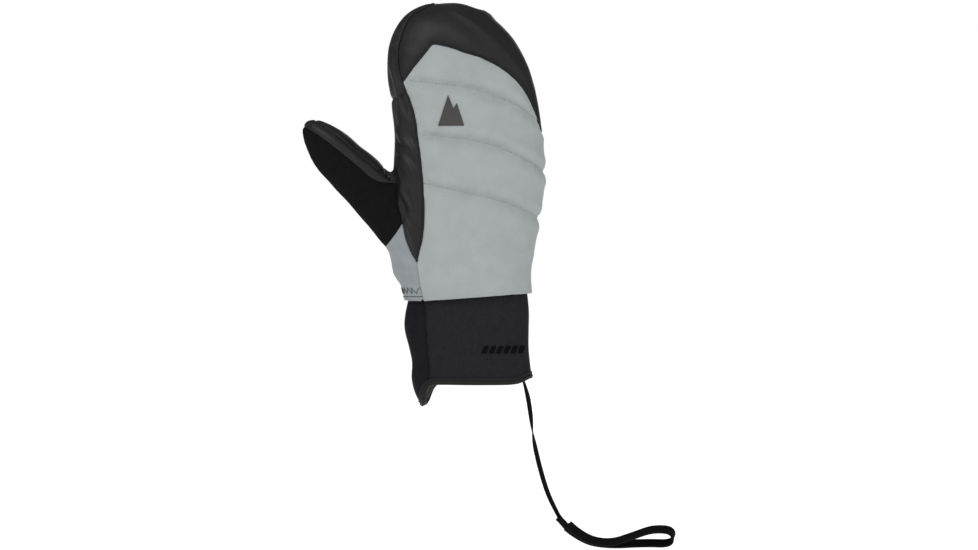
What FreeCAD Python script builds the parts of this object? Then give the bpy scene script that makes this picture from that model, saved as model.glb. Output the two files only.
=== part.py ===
"""Ski mitten for the right hand, fingers up, as a parametric FreeCAD document (millimetres).

+Z runs from the cuff opening to the fingertips and +Y from the back of the hand to the palm, so the
thumb points to -X. The origin is the centre of the cuff opening.

The hand and the thumb are each a stack of four nested layers (outer skin, insulation, membrane and
lining). Every layer is the space between two lofts of the same form at two depths, and outlines
extruded through the mitten divide it into the panels that are sewn together.
"""
import FreeCAD, Part
import math
import os

Vector = FreeCAD.Vector

os.makedirs("parts", exist_ok=True)
doc = FreeCAD.newDocument("ski_mitten")

# ---------------------------------------------------------------- driving dimensions

DRIVING_SIZES = {
    # layers, from the outside in
    "skin_wall": 1.2,
    "insulation_wall": 4.8,
    "thumb_insulation_wall": 3.0,
    "membrane_wall": 0.5,
    "lining_wall": 1.5,
    "thumb_lining_wall": 1.2,
    "layer_gap": 0.2,
    "seam_gap": 0.3,
    "trim_wall": 0.8,
    "elastic_wall": 1.5,
    # where the layers of the hand end, above the cuff opening
    "skirt_bottom": 63,
    "padding_bottom": 79,
    "elastic_bottom": 79.3,
    "elastic_top": 85.3,
    "elastic_edge_x": -32,
    # rounded fingertips
    "tip_height": 73,
    "tip_lean": -14,
    "tip_curl": 9,
    "tip_roundness": 2.3,
    # thumb axis, in the plane of the palm
    "thumb_base_x": -52,
    "thumb_base_y": 5,
    "thumb_base_z": 118,
    "thumb_angle": 44.2,
    "thumb_tip_height": 41.5,
    "thumb_tip_roundness": 1.8,
    "thumb_flatness": 0.92,
    # cuff
    "neoprene_wall": 3,
    "cuff_lining_wall": 1.5,
    "cuff_lining_bottom": 6,
    "cuff_top": 72,
    "cuff_side_seam_y": 2,
    # piping and divisions
    "piping_half_width": 0.9,
    "body_gap_half": 0.2,
    # leash
    "tape_diameter": 2.2,
    "strap_diameter": 5,
    "keeper_width": 6,
    "keeper_depth": 9.5,
    "keeper_height": 5,
    "anchor_width": 2.2,
    "anchor_depth": 8,
    "anchor_height": 12,
}

# height, centre x, half width, centre y, half thickness
HAND_STATIONS = [
    (50, -1.6, 48.7, 0, 22.2),
    (66, -1.6, 48.7, 0, 22.2),
    (82, -3.8, 50.8, 0.5, 24),
    (100, -4.6, 54.2, 1, 26.5),
    (122, -4, 56, 1, 28),
    (152, -0.8, 57.2, 0, 28.5),
    (184, -1, 56, 1, 27.5),
    (215, -4.6, 55.2, 3, 26),
]
TIP_STEPS = [0.35, 0.6, 0.8, 0.92, 0.98, 0.998]

# distance along the thumb axis, offset across it, half width
THUMB_STATIONS = [
    (-16, -2, 19.5),
    (5, -1, 18.2),
    (28, 0.7, 18),
    (48, 2, 18.6),
    (66, 1.2, 17.4),
]
THUMB_TIP_STEPS = [0.35, 0.6, 0.8, 0.92, 0.98, 0.998]

CUFF_STATIONS = [
    (-20, 6.5, 40, 0, 18.4),
    (-9, 3.2, 43.3, 0, 18.8),
    (2, 1.5, 45, 0, 19),
    (16, 0.8, 44.2, 0, 18.6),
    (26, -0.6, 45, 0, 18.4),
    (43, -2.4, 46.6, 0, 18.6),
    (60, -1.6, 45.5, 0, 18.1),
    (76, -1.5, 44, 0, 17.6),
]

sheet = doc.addObject("Spreadsheet::Sheet", "Sizes")


def fill_sheet():
    """Put every driving size and every station of the three forms into a named cell."""
    cells = dict(DRIVING_SIZES)
    for form, stations in (("hand", HAND_STATIONS), ("cuff", CUFF_STATIONS)):
        for number, (height, centre_x, half_width, centre_y, half_thickness) in enumerate(stations):
            cells[f"{form}_{number}_height"] = height
            cells[f"{form}_{number}_centre_x"] = centre_x
            cells[f"{form}_{number}_half_width"] = half_width
            cells[f"{form}_{number}_centre_y"] = centre_y
            cells[f"{form}_{number}_half_thickness"] = half_thickness
    for number, (along, across, half_width) in enumerate(THUMB_STATIONS):
        cells[f"thumb_{number}_along"] = along
        cells[f"thumb_{number}_across"] = across
        cells[f"thumb_{number}_half_width"] = half_width
    for row, (alias, size) in enumerate(cells.items(), start=1):
        sheet.set(f"A{row}", alias)
        sheet.set(f"B{row}", str(size))
        sheet.setAlias(f"B{row}", alias)
    doc.recompute()


def size(alias):
    """The value of a named cell."""
    return float(getattr(sheet, alias))


fill_sheet()

# ---------------------------------------------------------------- depths below the outer surface

SKIN_INNER = "Sizes.skin_wall"
INSULATION_OUTER = f"({SKIN_INNER} + Sizes.layer_gap)"
INSULATION_INNER = f"({INSULATION_OUTER} + Sizes.insulation_wall)"
MEMBRANE_OUTER = f"({INSULATION_INNER} + Sizes.layer_gap)"
MEMBRANE_INNER = f"({MEMBRANE_OUTER} + Sizes.membrane_wall)"
LINING_OUTER = f"({MEMBRANE_INNER} + Sizes.layer_gap)"
LINING_INNER = f"({LINING_OUTER} + Sizes.lining_wall)"
ELASTIC_INNER = f"({INSULATION_OUTER} + Sizes.elastic_wall)"

THUMB_INSULATION_INNER = f"({INSULATION_OUTER} + Sizes.thumb_insulation_wall)"
THUMB_MEMBRANE_OUTER = f"({THUMB_INSULATION_INNER} + Sizes.layer_gap)"
THUMB_MEMBRANE_INNER = f"({THUMB_MEMBRANE_OUTER} + Sizes.membrane_wall)"
THUMB_LINING_OUTER = f"({THUMB_MEMBRANE_INNER} + Sizes.layer_gap)"
THUMB_LINING_INNER = f"({THUMB_LINING_OUTER} + Sizes.thumb_lining_wall)"

CUFF_LINING_OUTER = "(Sizes.neoprene_wall + Sizes.layer_gap)"
CUFF_LINING_INNER = f"({CUFF_LINING_OUTER} + Sizes.cuff_lining_wall)"

TRIM_INNER = "(-Sizes.layer_gap)"
TRIM_OUTER = f"({TRIM_INNER} - Sizes.trim_wall)"
BODY_CLEARANCE = "(-2 * Sizes.layer_gap)"


def depth_value(depth):
    """The number that a depth's expression stands for."""
    return float(sheet.evalExpression(depth))


# ---------------------------------------------------------------- small makers


def section(name, placement, half_width, half_thickness):
    """An ellipse across a form, its two radii bound to the sheet."""
    ring = doc.addObject("Part::Ellipse", name)
    ring.setExpression("MajorRadius", half_width)
    ring.setExpression("MinorRadius", half_thickness)
    ring.Placement = placement
    return ring


def loft(name, rings):
    """A solid loft through a row of rings."""
    body = doc.addObject("Part::Loft", name)
    body.Sections = rings
    body.Solid = True
    body.Ruled = False
    return body


def cut(name, base, tool):
    """The base without the tool."""
    result = doc.addObject("Part::Cut", name)
    result.Base = base
    result.Tool = tool
    return result


def common(name, base, tool):
    """What the base and the tool share."""
    result = doc.addObject("Part::Common", name)
    result.Base = base
    result.Tool = tool
    return result


def outline_wire(name, points, growth):
    """A closed outline, grown or shrunk by an expression when one is given."""
    wire = doc.addObject("Part::Polygon", name)
    wire.Nodes = points
    wire.Close = True
    if growth is None:
        return wire
    grown = doc.addObject("Part::Offset2D", f"{name}_grown")
    grown.Source = wire
    grown.Join = "Intersection"
    grown.setExpression("Value", growth)
    return grown


def prism(name, outline, growth=None, front=80, back=80):
    """An outline of (x, z) points extruded through the mitten, from y = -front to y = back."""
    wire = outline_wire(f"{name}_outline", [Vector(x, 0, z) for x, z in outline], growth)
    body = doc.addObject("Part::Extrusion", name)
    body.Base = wire
    body.DirMode = "Custom"
    body.Dir = Vector(0, 1, 0)
    body.LengthFwd = back
    body.LengthRev = front
    body.Solid = True
    return body


def side_prism(name, outline, growth=None):
    """An outline of (y, z) points extruded across the whole width of the mitten."""
    wire = outline_wire(f"{name}_outline", [Vector(0, y, z) for y, z in outline], growth)
    body = doc.addObject("Part::Extrusion", name)
    body.Base = wire
    body.DirMode = "Custom"
    body.Dir = Vector(1, 0, 0)
    body.LengthFwd = 160
    body.LengthRev = 160
    body.Solid = True
    return body


def slab(name, bottom, top):
    """Everything between two heights, each an expression."""
    box = doc.addObject("Part::Box", name)
    box.Length = 300
    box.Width = 200
    box.setExpression("Height", f"{top} - {bottom}")
    box.Placement.Base = Vector(-160, -100, depth_value(bottom))
    box.setExpression("Placement.Base.z", bottom)
    return box


def part(label, node):
    """Mark an object as one piece of the mitten."""
    node.Label = label
    pieces.append(node)
    return node


pieces = []

# ---------------------------------------------------------------- forms


def station_rings(form, tag, stations, depth):
    """One ring for each station of the hand or the cuff, at a depth below its outer surface."""
    rings = []
    for number in range(len(stations)):
        base = f"{form}_{number}"
        place = Vector(size(f"{base}_centre_x"), size(f"{base}_centre_y"), size(f"{base}_height"))
        ring = section(
            f"{form}_{tag}_ring_{number}",
            FreeCAD.Placement(place, FreeCAD.Rotation()),
            f"Sizes.{base}_half_width - {depth}",
            f"Sizes.{base}_half_thickness - {depth}",
        )
        rings.append(ring)
    return rings


def rounded(step, exponent):
    """How wide a rounded end is at a step from its base (0) to its top (1)."""
    return (1 - step ** exponent) ** (1 / exponent)


def hand_form(tag, depth):
    """The hand's padded form at a depth, closed by the rounded fingertips."""
    rings = station_rings("hand", tag, HAND_STATIONS, depth)
    base = f"hand_{len(HAND_STATIONS) - 1}"
    tip_height = size("tip_height") - depth_value(depth)
    for number, step in enumerate(TIP_STEPS):
        width = rounded(step, size("tip_roundness"))
        place = Vector(
            size(f"{base}_centre_x") + size("tip_lean") * step,
            size(f"{base}_centre_y") + size("tip_curl") * step ** 2,
            size(f"{base}_height") + tip_height * step,
        )
        ring = section(
            f"hand_{tag}_tip_ring_{number}",
            FreeCAD.Placement(place, FreeCAD.Rotation()),
            f"(Sizes.{base}_half_width - {depth}) * {width:.6f}",
            f"(Sizes.{base}_half_thickness - {depth}) * {width:.6f}",
        )
        rings.append(ring)
    return loft(f"hand_{tag}_form", rings)


def thumb_place(along, across):
    """Placement of a thumb ring: its normal along the thumb, its long axis in the palm's plane."""
    turn = FreeCAD.Rotation(Vector(0, 1, 0), -size("thumb_angle"))
    base = Vector(size("thumb_base_x"), size("thumb_base_y"), size("thumb_base_z"))
    return FreeCAD.Placement(base + turn.multVec(Vector(across, 0, along)), turn)


def thumb_form(tag, depth):
    """The thumb's padded form at a depth, from inside the palm to its rounded tip."""
    rings = []
    for number in range(len(THUMB_STATIONS)):
        base = f"thumb_{number}"
        ring = section(
            f"thumb_{tag}_ring_{number}",
            thumb_place(size(f"{base}_along"), size(f"{base}_across")),
            f"Sizes.{base}_half_width - {depth}",
            f"Sizes.{base}_half_width * Sizes.thumb_flatness - {depth}",
        )
        rings.append(ring)
    base = f"thumb_{len(THUMB_STATIONS) - 1}"
    tip_height = size("thumb_tip_height") - depth_value(depth)
    for number, step in enumerate(THUMB_TIP_STEPS):
        width = rounded(step, size("thumb_tip_roundness"))
        ring = section(
            f"thumb_{tag}_tip_ring_{number}",
            thumb_place(size(f"{base}_along") + tip_height * step, size(f"{base}_across") + 1.5 * step),
            f"(Sizes.{base}_half_width - {depth}) * {width:.6f}",
            f"(Sizes.{base}_half_width * Sizes.thumb_flatness - {depth}) * {width:.6f}",
        )
        rings.append(ring)
    return loft(f"thumb_{tag}_form", rings)


def cuff_form(tag, depth):
    """The cuff's tube at a depth, open at both ends once two of them are cut from each other."""
    return loft(f"cuff_{tag}_form", station_rings("cuff", tag, CUFF_STATIONS, depth))


# ---------------------------------------------------------------- outlines, as (x, z) points

KNUCKLE_LEFT = Vector(-39, 0, 185.2)
KNUCKLE_RIGHT = Vector(56, 0, 159)
KNUCKLE_LINE = (KNUCKLE_RIGHT - KNUCKLE_LEFT).normalize()
KNUCKLE_NORMAL = Vector(-KNUCKLE_LINE.z, 0, KNUCKLE_LINE.x)


def knuckle_outline(side):
    """Everything on one side of the knuckle line, half the gap between the bodies away from it."""
    edge = KNUCKLE_LEFT + KNUCKLE_NORMAL * (side * size("body_gap_half"))
    corners = [
        edge - KNUCKLE_LINE * 160,
        edge + KNUCKLE_LINE * 160,
        edge + KNUCKLE_LINE * 160 + KNUCKLE_NORMAL * (side * 240),
        edge - KNUCKLE_LINE * 160 + KNUCKLE_NORMAL * (side * 240),
    ]
    return [(corner.x, corner.z) for corner in corners]


# the strip of leather along the index finger ends in a V above the wrist
STRIP_OUTLINE = [
    (-39.8, 91.5), (-35.3, 111.8), (-34.5, 130.5), (-35.3, 149.3), (-39, 183), (-42, 201.8),
    (-48.8, 220.5), (-52.5, 229.5), (-54, 243), (-53.3, 254.3), (-49.5, 267), (-43.5, 277),
    (-43.5, 295), (-80, 295), (-80, 152), (-56.5, 151), (-54, 134.3), (-51, 121.5), (-48, 108),
    (-43.5, 96.8),
]

# only the strip's right edge is piped; this is the side with the plain seam
PLAIN_EDGE_OUTLINE = [(-41, 85), (-41, 97), (-42, 112), (-44, 130), (-46, 160), (-100, 160), (-100, 85)]

# the back panel lies to the right of the line that runs down from the V to the wrist
BACK_OUTLINE = [(-39.8, 92), (-38.5, 80), (-35, 63), (-35, 40), (90, 40), (90, 300), (-39.8, 300)]

# the fingertip cap rises to a corner beside the index finger and falls away to the little finger
CAP_OUTLINE = [
    (-80, 222), (-49.5, 222), (-27.8, 254.3), (-7.5, 249), (15, 240.8), (33.8, 228), (45, 213),
    (53, 192), (60, 174), (85, 174), (85, 300), (-80, 300),
]

# the palm panel starts behind the widest line of the hand, as (y, z) points
PALM_OUTLINE = [(4, 40), (4, 75), (7, 110), (7, 180), (10, 215), (19, 295), (70, 295), (70, 40)]

# a reinforcement sewn over the middle of the palm
PATCH_OUTLINE = [
    (-20, 84), (24, 84), (36, 104), (38, 142), (31, 158), (-12, 170), (-27, 155), (-31, 118),
]

# a peak with a smaller shoulder, printed beside the index finger
EMBLEM_OUTLINE = [(-23.5, 192), (-16, 215), (-12, 205), (-9.5, 209), (-4, 192)]

# the leather along the upper edge of the thumb
THUMB_TOP_OUTLINE = [
    (-140, 200), (-123.8, 192), (-112.5, 185.3), (-97.5, 174), (-82.5, 162), (-73.5, 154.5),
    (-69, 151.5), (-40, 150.8), (-40, 240), (-140, 240),
]

# the hem rises a little on the side of the little finger and drops to a tongue below the thumb
HEM_OUTLINE = [
    (80, 4.4), (46, 4.4), (42, 2.8), (37, 1), (29, 0), (-25, 0), (-28.5, -2), (-31, -7),
    (-33.5, -14.5), (-35, -16.8), (-70, -16.8), (-70, -60), (80, -60),
]
BINDING_OUTLINE = [
    (80, 9.7), (46, 9.7), (42, 8.1), (37, 6.3), (29, 5.3), (-28, 5.3), (-32.5, 3.6), (-35.3, -1.5),
    (-37, -7), (-37, -13), (-36.5, -20), (-36.5, -60), (80, -60),
]
CUFF_SEAM_OUTLINE = [(-30, -40), (-30, 1), (-34, 63), (-34, 90), (90, 90), (90, -40)]


def emboss_outline():
    """A comb of slanted bars that stand on one thin foot."""
    left, foot, height, bar, pitch, slant = 8.5, 23.4, 5.6, 3.2, 5.4, 2.2
    points = [(left, foot)]
    for number in range(6):
        start = left + number * pitch
        points.append((start + slant, foot + height))
        points.append((start + slant + bar, foot + height))
        points.append((start + bar + 0.4, foot + 1))
        points.append((start + pitch + 0.4, foot + 1))
    points[-1] = (left + 5 * pitch + bar, foot)
    return points


# ---------------------------------------------------------------- hand and fingers

below_knuckles = prism("below_knuckles", knuckle_outline(-1))
above_knuckles = prism("above_knuckles", knuckle_outline(1))
palm_side = side_prism("palm_side", PALM_OUTLINE)
palm_side_wide = side_prism("palm_side_wide", PALM_OUTLINE, "Sizes.seam_gap")
strip_area = prism("strip_area", STRIP_OUTLINE)
strip_area_wide = prism("strip_area_wide", STRIP_OUTLINE, "Sizes.seam_gap")
cap_area = prism("cap_area", CAP_OUTLINE)
cap_area_wide = prism("cap_area_wide", CAP_OUTLINE, "Sizes.seam_gap")
thumb_hollow = thumb_form("lining_inner", THUMB_LINING_INNER)

hand_outer = hand_form("outer", "0")
hand_skin_inner = hand_form("skin_inner", SKIN_INNER)
hand_insulation_outer = hand_form("insulation_outer", INSULATION_OUTER)
hand_insulation_inner = hand_form("insulation_inner", INSULATION_INNER)
hand_membrane_outer = hand_form("membrane_outer", MEMBRANE_OUTER)
hand_membrane_inner = hand_form("membrane_inner", MEMBRANE_INNER)
hand_lining_outer = hand_form("lining_outer", LINING_OUTER)
hand_lining_inner = hand_form("lining_inner", LINING_INNER)
hand_elastic_inner = hand_form("elastic_inner", ELASTIC_INNER)
hand_trim_inner = hand_form("trim_inner", TRIM_INNER)
hand_trim_outer = hand_form("trim_outer", TRIM_OUTER)
hand_clearance = hand_form("clearance", BODY_CLEARANCE)


def hand_layer(name, outer, inner, bottom):
    """One layer of the hand, open at the wrist and where the thumb goes in, as hand and fingers."""
    wall = cut(f"{name}_wall", outer, inner)
    trimmed = common(f"{name}_trimmed", wall, slab(f"{name}_span", bottom, "320"))
    bored = cut(f"{name}_bored", trimmed, thumb_hollow)
    hand = common(f"{name}_below", bored, below_knuckles)
    fingers = common(f"{name}_above", trimmed, above_knuckles)
    return hand, fingers


skin_hand, skin_fingers = hand_layer("skin", hand_outer, hand_skin_inner, "Sizes.skirt_bottom")
front_hand = cut("front_hand", skin_hand, palm_side_wide)
front_fingers = cut("front_fingers", skin_fingers, palm_side_wide)
part("palm_leather_hand", common("palm_leather_hand", skin_hand, palm_side))
part("palm_leather_fingers", common("palm_leather_fingers", skin_fingers, palm_side))
part("index_strip_hand", common("index_strip_hand", front_hand, strip_area))
part("index_strip_fingers", common("index_strip_fingers", front_fingers, strip_area))

beside_strip_hand = cut("beside_strip_hand", front_hand, strip_area_wide)
beside_strip_fingers = cut("beside_strip_fingers", front_fingers, strip_area_wide)

back_area = prism("back_area", BACK_OUTLINE)
back_area_wide = prism("back_area_wide", BACK_OUTLINE, "Sizes.seam_gap")
part("back_shell_hand", common("back_shell_hand", beside_strip_hand, back_area))
part("thumb_gusset", cut("thumb_gusset", beside_strip_hand, back_area_wide))
part("tip_cap", common("tip_cap", beside_strip_fingers, cap_area))
part("back_shell_fingers", cut("back_shell_fingers", beside_strip_fingers, cap_area_wide))

# an elastic under the skirt draws the thumb side of the wrist in, below the padding there
elastic_outline = [
    (size("elastic_edge_x"), size("elastic_bottom")),
    (size("elastic_edge_x"), size("elastic_top")),
    (-90, size("elastic_top")),
    (-90, size("elastic_bottom")),
]
elastic_area = prism("elastic_area", elastic_outline)
elastic_pocket = prism("elastic_pocket", elastic_outline, "Sizes.seam_gap")
elastic_ring = cut("elastic_ring", hand_insulation_outer, hand_elastic_inner)
part("wrist_elastic", common("wrist_elastic", elastic_ring, elastic_area))

insulation_whole, insulation_fingers = hand_layer(
    "insulation", hand_insulation_outer, hand_insulation_inner, "Sizes.padding_bottom"
)
insulation_hand = cut("insulation_hand", insulation_whole, elastic_pocket)
part("back_insulation_hand", cut("back_insulation_hand", insulation_hand, palm_side_wide))
part("palm_insulation_hand", common("palm_insulation_hand", insulation_hand, palm_side))
part("back_insulation_fingers", cut("back_insulation_fingers", insulation_fingers, palm_side_wide))
part("palm_insulation_fingers", common("palm_insulation_fingers", insulation_fingers, palm_side))

for layer, outer, inner in (
    ("membrane", hand_membrane_outer, hand_membrane_inner),
    ("lining", hand_lining_outer, hand_lining_inner),
):
    layer_hand, layer_fingers = hand_layer(layer, outer, inner, "Sizes.padding_bottom")
    part(f"{layer}_hand", layer_hand)
    part(f"{layer}_fingers", layer_fingers)

# ---------------------------------------------------------------- trim sewn or printed on the skin

trim_wall = cut("trim_wall", hand_trim_outer, hand_trim_inner)
trim_front = cut("trim_front", trim_wall, palm_side_wide)


def border(name, outline):
    """A narrow band along an outline, half on each side of it."""
    outer = prism(f"{name}_outside", outline, "Sizes.piping_half_width")
    inner = prism(f"{name}_inside", outline, "-Sizes.piping_half_width")
    return cut(f"{name}_band", outer, inner)


strip_piping = common("strip_piping", trim_front, border("strip_piping", STRIP_OUTLINE))
strip_clear = prism("strip_clear", STRIP_OUTLINE, "Sizes.piping_half_width + Sizes.seam_gap")
cap_piping = common("cap_piping_whole", trim_front, border("cap_piping", CAP_OUTLINE))
strip_piping_low = common("strip_piping_low", strip_piping, below_knuckles)
part("strip_piping_hand", cut("strip_piping_hand", strip_piping_low, prism("plain_edge", PLAIN_EDGE_OUTLINE)))
part("strip_piping_fingers", common("strip_piping_fingers", strip_piping, above_knuckles))
part("cap_piping", cut("cap_piping", cap_piping, strip_clear))
part("emblem", common("emblem", trim_front, prism("emblem_area", EMBLEM_OUTLINE)))
trim_palm = common("trim_palm", trim_wall, palm_side)
part("palm_patch", common("palm_patch", trim_palm, prism("patch_area", PATCH_OUTLINE)))

# ---------------------------------------------------------------- thumb


def thumb_layer(name, outer, inner):
    """One layer of the thumb, ending where it meets the hand."""
    wall = cut(f"thumb_{name}_wall", outer, inner)
    return cut(f"thumb_{name}_trimmed", wall, hand_clearance)


thumb_outer = thumb_form("outer", "0")
thumb_skin = thumb_layer("skin", thumb_outer, thumb_form("skin_inner", SKIN_INNER))
THUMB_SEAM_Y = size("thumb_base_y") + 1
THUMB_PALM_OUTLINE = [(THUMB_SEAM_Y, 40), (THUMB_SEAM_Y, 260), (70, 260), (70, 40)]
thumb_palm = side_prism("thumb_palm", THUMB_PALM_OUTLINE)
thumb_palm_wide = side_prism("thumb_palm_wide", THUMB_PALM_OUTLINE, "Sizes.seam_gap")
thumb_top_area = prism("thumb_top_area", THUMB_TOP_OUTLINE)
thumb_top_wide = prism("thumb_top_wide", THUMB_TOP_OUTLINE, "Sizes.seam_gap")
thumb_top = common("thumb_top", thumb_skin, thumb_top_area)
thumb_below_top = cut("thumb_below_top", thumb_skin, thumb_top_wide)
part("thumb_palm_leather", common("thumb_palm_leather", thumb_skin, thumb_palm))
part("thumb_top_leather", cut("thumb_top_leather", thumb_top, thumb_palm_wide))
part("thumb_suede", cut("thumb_suede", thumb_below_top, thumb_palm_wide))

thumb_insulation = thumb_layer(
    "insulation",
    thumb_form("insulation_outer", INSULATION_OUTER),
    thumb_form("insulation_inner", THUMB_INSULATION_INNER),
)
thumb_membrane = thumb_layer(
    "membrane",
    thumb_form("membrane_outer", THUMB_MEMBRANE_OUTER),
    thumb_form("membrane_inner", THUMB_MEMBRANE_INNER),
)
thumb_lining = thumb_layer("lining", thumb_form("lining_outer", THUMB_LINING_OUTER), thumb_hollow)
part("thumb_insulation", thumb_insulation)
part("thumb_membrane", thumb_membrane)
part("thumb_lining", thumb_lining)

# ---------------------------------------------------------------- cuff

hem_waste = prism("hem_waste", HEM_OUTLINE)
cuff_outer = cuff_form("outer", "0")
cuff_tube = cut("cuff_tube", cuff_outer, cuff_form("inner", "Sizes.neoprene_wall"))
cuff_span = common("cuff_span", cuff_tube, slab("cuff_height", "-30", "Sizes.cuff_top"))
cuff_shell = cut("cuff_shell", cuff_span, hem_waste)
seam_y = size("cuff_side_seam_y")
cuff_back_area = prism("cuff_back_area", CUFF_SEAM_OUTLINE, back=seam_y)
cuff_back_wide = prism("cuff_back_wide", CUFF_SEAM_OUTLINE, "Sizes.seam_gap", back=seam_y + size("seam_gap"))
part("cuff_back_panel", common("cuff_back_panel", cuff_shell, cuff_back_area))
part("cuff_palm_panel", cut("cuff_palm_panel", cuff_shell, cuff_back_wide))

cuff_lining_tube = cut(
    "cuff_lining_tube",
    cuff_form("lining_outer", CUFF_LINING_OUTER),
    cuff_form("lining_inner", CUFF_LINING_INNER),
)
cuff_lining_span = slab("cuff_lining_span", "Sizes.cuff_lining_bottom", "Sizes.cuff_top - 1")
part("cuff_lining", common("cuff_lining", cuff_lining_tube, cuff_lining_span))

cuff_trim = cut("cuff_trim", cuff_form("trim_outer", TRIM_OUTER), cuff_form("trim_inner", TRIM_INNER))
cuff_trim_low = common("cuff_trim_low", cuff_trim, prism("binding_area", BINDING_OUTLINE))
part("hem_binding", cut("hem_binding", cuff_trim_low, hem_waste))
part("cuff_emboss", common("cuff_emboss", cuff_trim, prism("emboss_area", emboss_outline(), back=0)))

# ---------------------------------------------------------------- leash

TAPE_ROUTE = [
    (38.6, 2, 7), (42.6, 2, -5), (45.2, 1.5, -20), (47.3, 1, -40), (51.6, 0.5, -60), (57.4, 0, -80),
    (62.6, 0, -91.5), (67.2, 0, -100.2),
]
STRAP_ROUTE = [
    (72.2, 2.8, -107), (84, 3, -117), (104, 3, -121), (132, 3, -119.4), (152.6, 3, -120.2),
    (152.6, -2.6, -109.4), (137, -2.8, -108.2), (122, -2.8, -113.6), (104, -2.8, -119.6),
    (85, -2.8, -115.6), (73.6, -2.8, -105.2),
]


def rounded_path(points):
    """Straight runs joined by tangent arcs, each as large as its two runs allow, and its radii."""
    route = [Vector(*point) for point in points]
    edges = []
    radii = []
    start = route[0]
    for before, corner, after in zip(route, route[1:], route[2:]):
        back_way = before - corner
        next_way = after - corner
        shorter = min(back_way.Length, next_way.Length)
        half_turn = (math.pi - back_way.getAngle(next_way)) / 2
        reach = 0.45 * shorter
        radii.append(reach / math.tan(half_turn))
        arc_start = corner + back_way.normalize() * reach
        arc_end = corner + next_way.normalize() * reach
        centre_way = (back_way + next_way).normalize()
        centre = corner + centre_way * (radii[-1] / math.cos(half_turn))
        arc_middle = centre - centre_way * radii[-1]
        edges.append(Part.LineSegment(start, arc_start).toShape())
        edges.append(Part.Arc(arc_start, arc_middle, arc_end).toShape())
        start = arc_end
    edges.append(Part.LineSegment(start, route[-1]).toShape())
    return Part.Wire(edges), radii


def tube(label, points, diameter):
    """A round tube along a route, the plain form of a free cord."""
    wire, radii = rounded_path(points)
    path = doc.addObject("Part::Feature", f"{label}_path")
    path.Shape = wire
    ring = doc.addObject("Part::Circle", f"{label}_ring")
    ring.setExpression("Radius", f"Sizes.{diameter} / 2")
    first_way = Vector(*points[1]) - Vector(*points[0])
    ring.Placement = FreeCAD.Placement(Vector(*points[0]), FreeCAD.Rotation(Vector(0, 0, 1), first_way))
    sweep = doc.addObject("Part::Sweep", label)
    sweep.Sections = [ring]
    sweep.Spine = (path, [f"Edge{number + 1}" for number in range(len(wire.Edges))])
    sweep.Solid = True
    sweep.Frenet = False
    sweep.Transition = "Right corner"
    part(label, sweep)
    lengths.append((label, wire.Length, size(diameter), radii))


lengths = []
tube("leash_tape", TAPE_ROUTE, "tape_diameter")
tube("wrist_loop", STRAP_ROUTE, "strap_diameter")


def block(label, centre, prefix, tilt):
    """A small box about a centre, turned about Y, its three sides bound to the sheet."""
    box = doc.addObject("Part::Box", label)
    box.setExpression("Length", f"Sizes.{prefix}_width")
    box.setExpression("Width", f"Sizes.{prefix}_depth")
    box.setExpression("Height", f"Sizes.{prefix}_height")
    turn = FreeCAD.Rotation(Vector(0, 1, 0), tilt)
    corner = Vector(size(f"{prefix}_width"), size(f"{prefix}_depth"), size(f"{prefix}_height")) * 0.5
    box.Placement = FreeCAD.Placement(centre - turn.multVec(corner), turn)
    part(label, box)


block("loop_keeper", Vector(69.2, 0, -103.6), "keeper", -42)
block("leash_anchor_tab", Vector(36.2, 0.5, 13.6), "anchor", 0)

# ---------------------------------------------------------------- checks and export

doc.recompute()
failed = [thing.Name for thing in doc.Objects if {"Invalid", "Error"} & set(thing.State)]
if failed:
    raise RuntimeError(f"failed objects: {failed}")
for piece in pieces:
    if piece.Shape.isNull() or not piece.Shape.isValid() or len(piece.Shape.Solids) != 1:
        raise RuntimeError(f"bad shape: {piece.Label}")

for label, length, diameter, radii in lengths:
    volume = doc.getObject(label).Shape.Volume
    expected = math.pi * diameter ** 2 / 4 * length
    smallest = min(radii)
    print(f"{label}: length {length:.1f}, volume {volume:.1f} of {expected:.1f}, smallest radius {smallest:.1f}")
    print("   radii", " ".join(f"{radius:.1f}" for radius in radii))

for piece in pieces:
    piece.Shape.exportStep(f"parts/{piece.Label}.step")
print(len(pieces), "pieces written")
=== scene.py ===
"""Looks of the ski mitten: quilted fabric back, leather fingertips and palm, neoprene cuff, leash.

Lengths are millimetres times MM. +X is the little finger's side, +Y the palm and +Z the fingertips.
"""
import bisect
import math

import bmesh
import bpy
from mathutils import Matrix, Vector, noise
from mathutils.bvhtree import BVHTree
from mathutils.kdtree import KDTree


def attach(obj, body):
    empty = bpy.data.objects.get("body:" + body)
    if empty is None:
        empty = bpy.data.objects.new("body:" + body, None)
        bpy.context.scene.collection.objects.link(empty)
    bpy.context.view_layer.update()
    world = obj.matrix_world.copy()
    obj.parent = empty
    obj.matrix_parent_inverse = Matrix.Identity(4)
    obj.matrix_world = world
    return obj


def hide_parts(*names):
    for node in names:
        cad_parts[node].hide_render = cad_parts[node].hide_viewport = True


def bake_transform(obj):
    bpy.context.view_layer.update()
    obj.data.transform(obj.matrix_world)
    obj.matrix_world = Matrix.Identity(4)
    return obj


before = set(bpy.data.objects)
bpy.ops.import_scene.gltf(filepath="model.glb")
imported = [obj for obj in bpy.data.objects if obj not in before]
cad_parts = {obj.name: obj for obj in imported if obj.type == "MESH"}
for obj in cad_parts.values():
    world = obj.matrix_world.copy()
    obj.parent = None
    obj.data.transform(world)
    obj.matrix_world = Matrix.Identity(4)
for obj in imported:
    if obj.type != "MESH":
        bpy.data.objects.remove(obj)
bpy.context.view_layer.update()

MM = 0.001
UP = Vector((0, 0, 1))
TO_PALM = Vector((0, 1, 0))

# ---------------------------------------------------------------- camera

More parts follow.
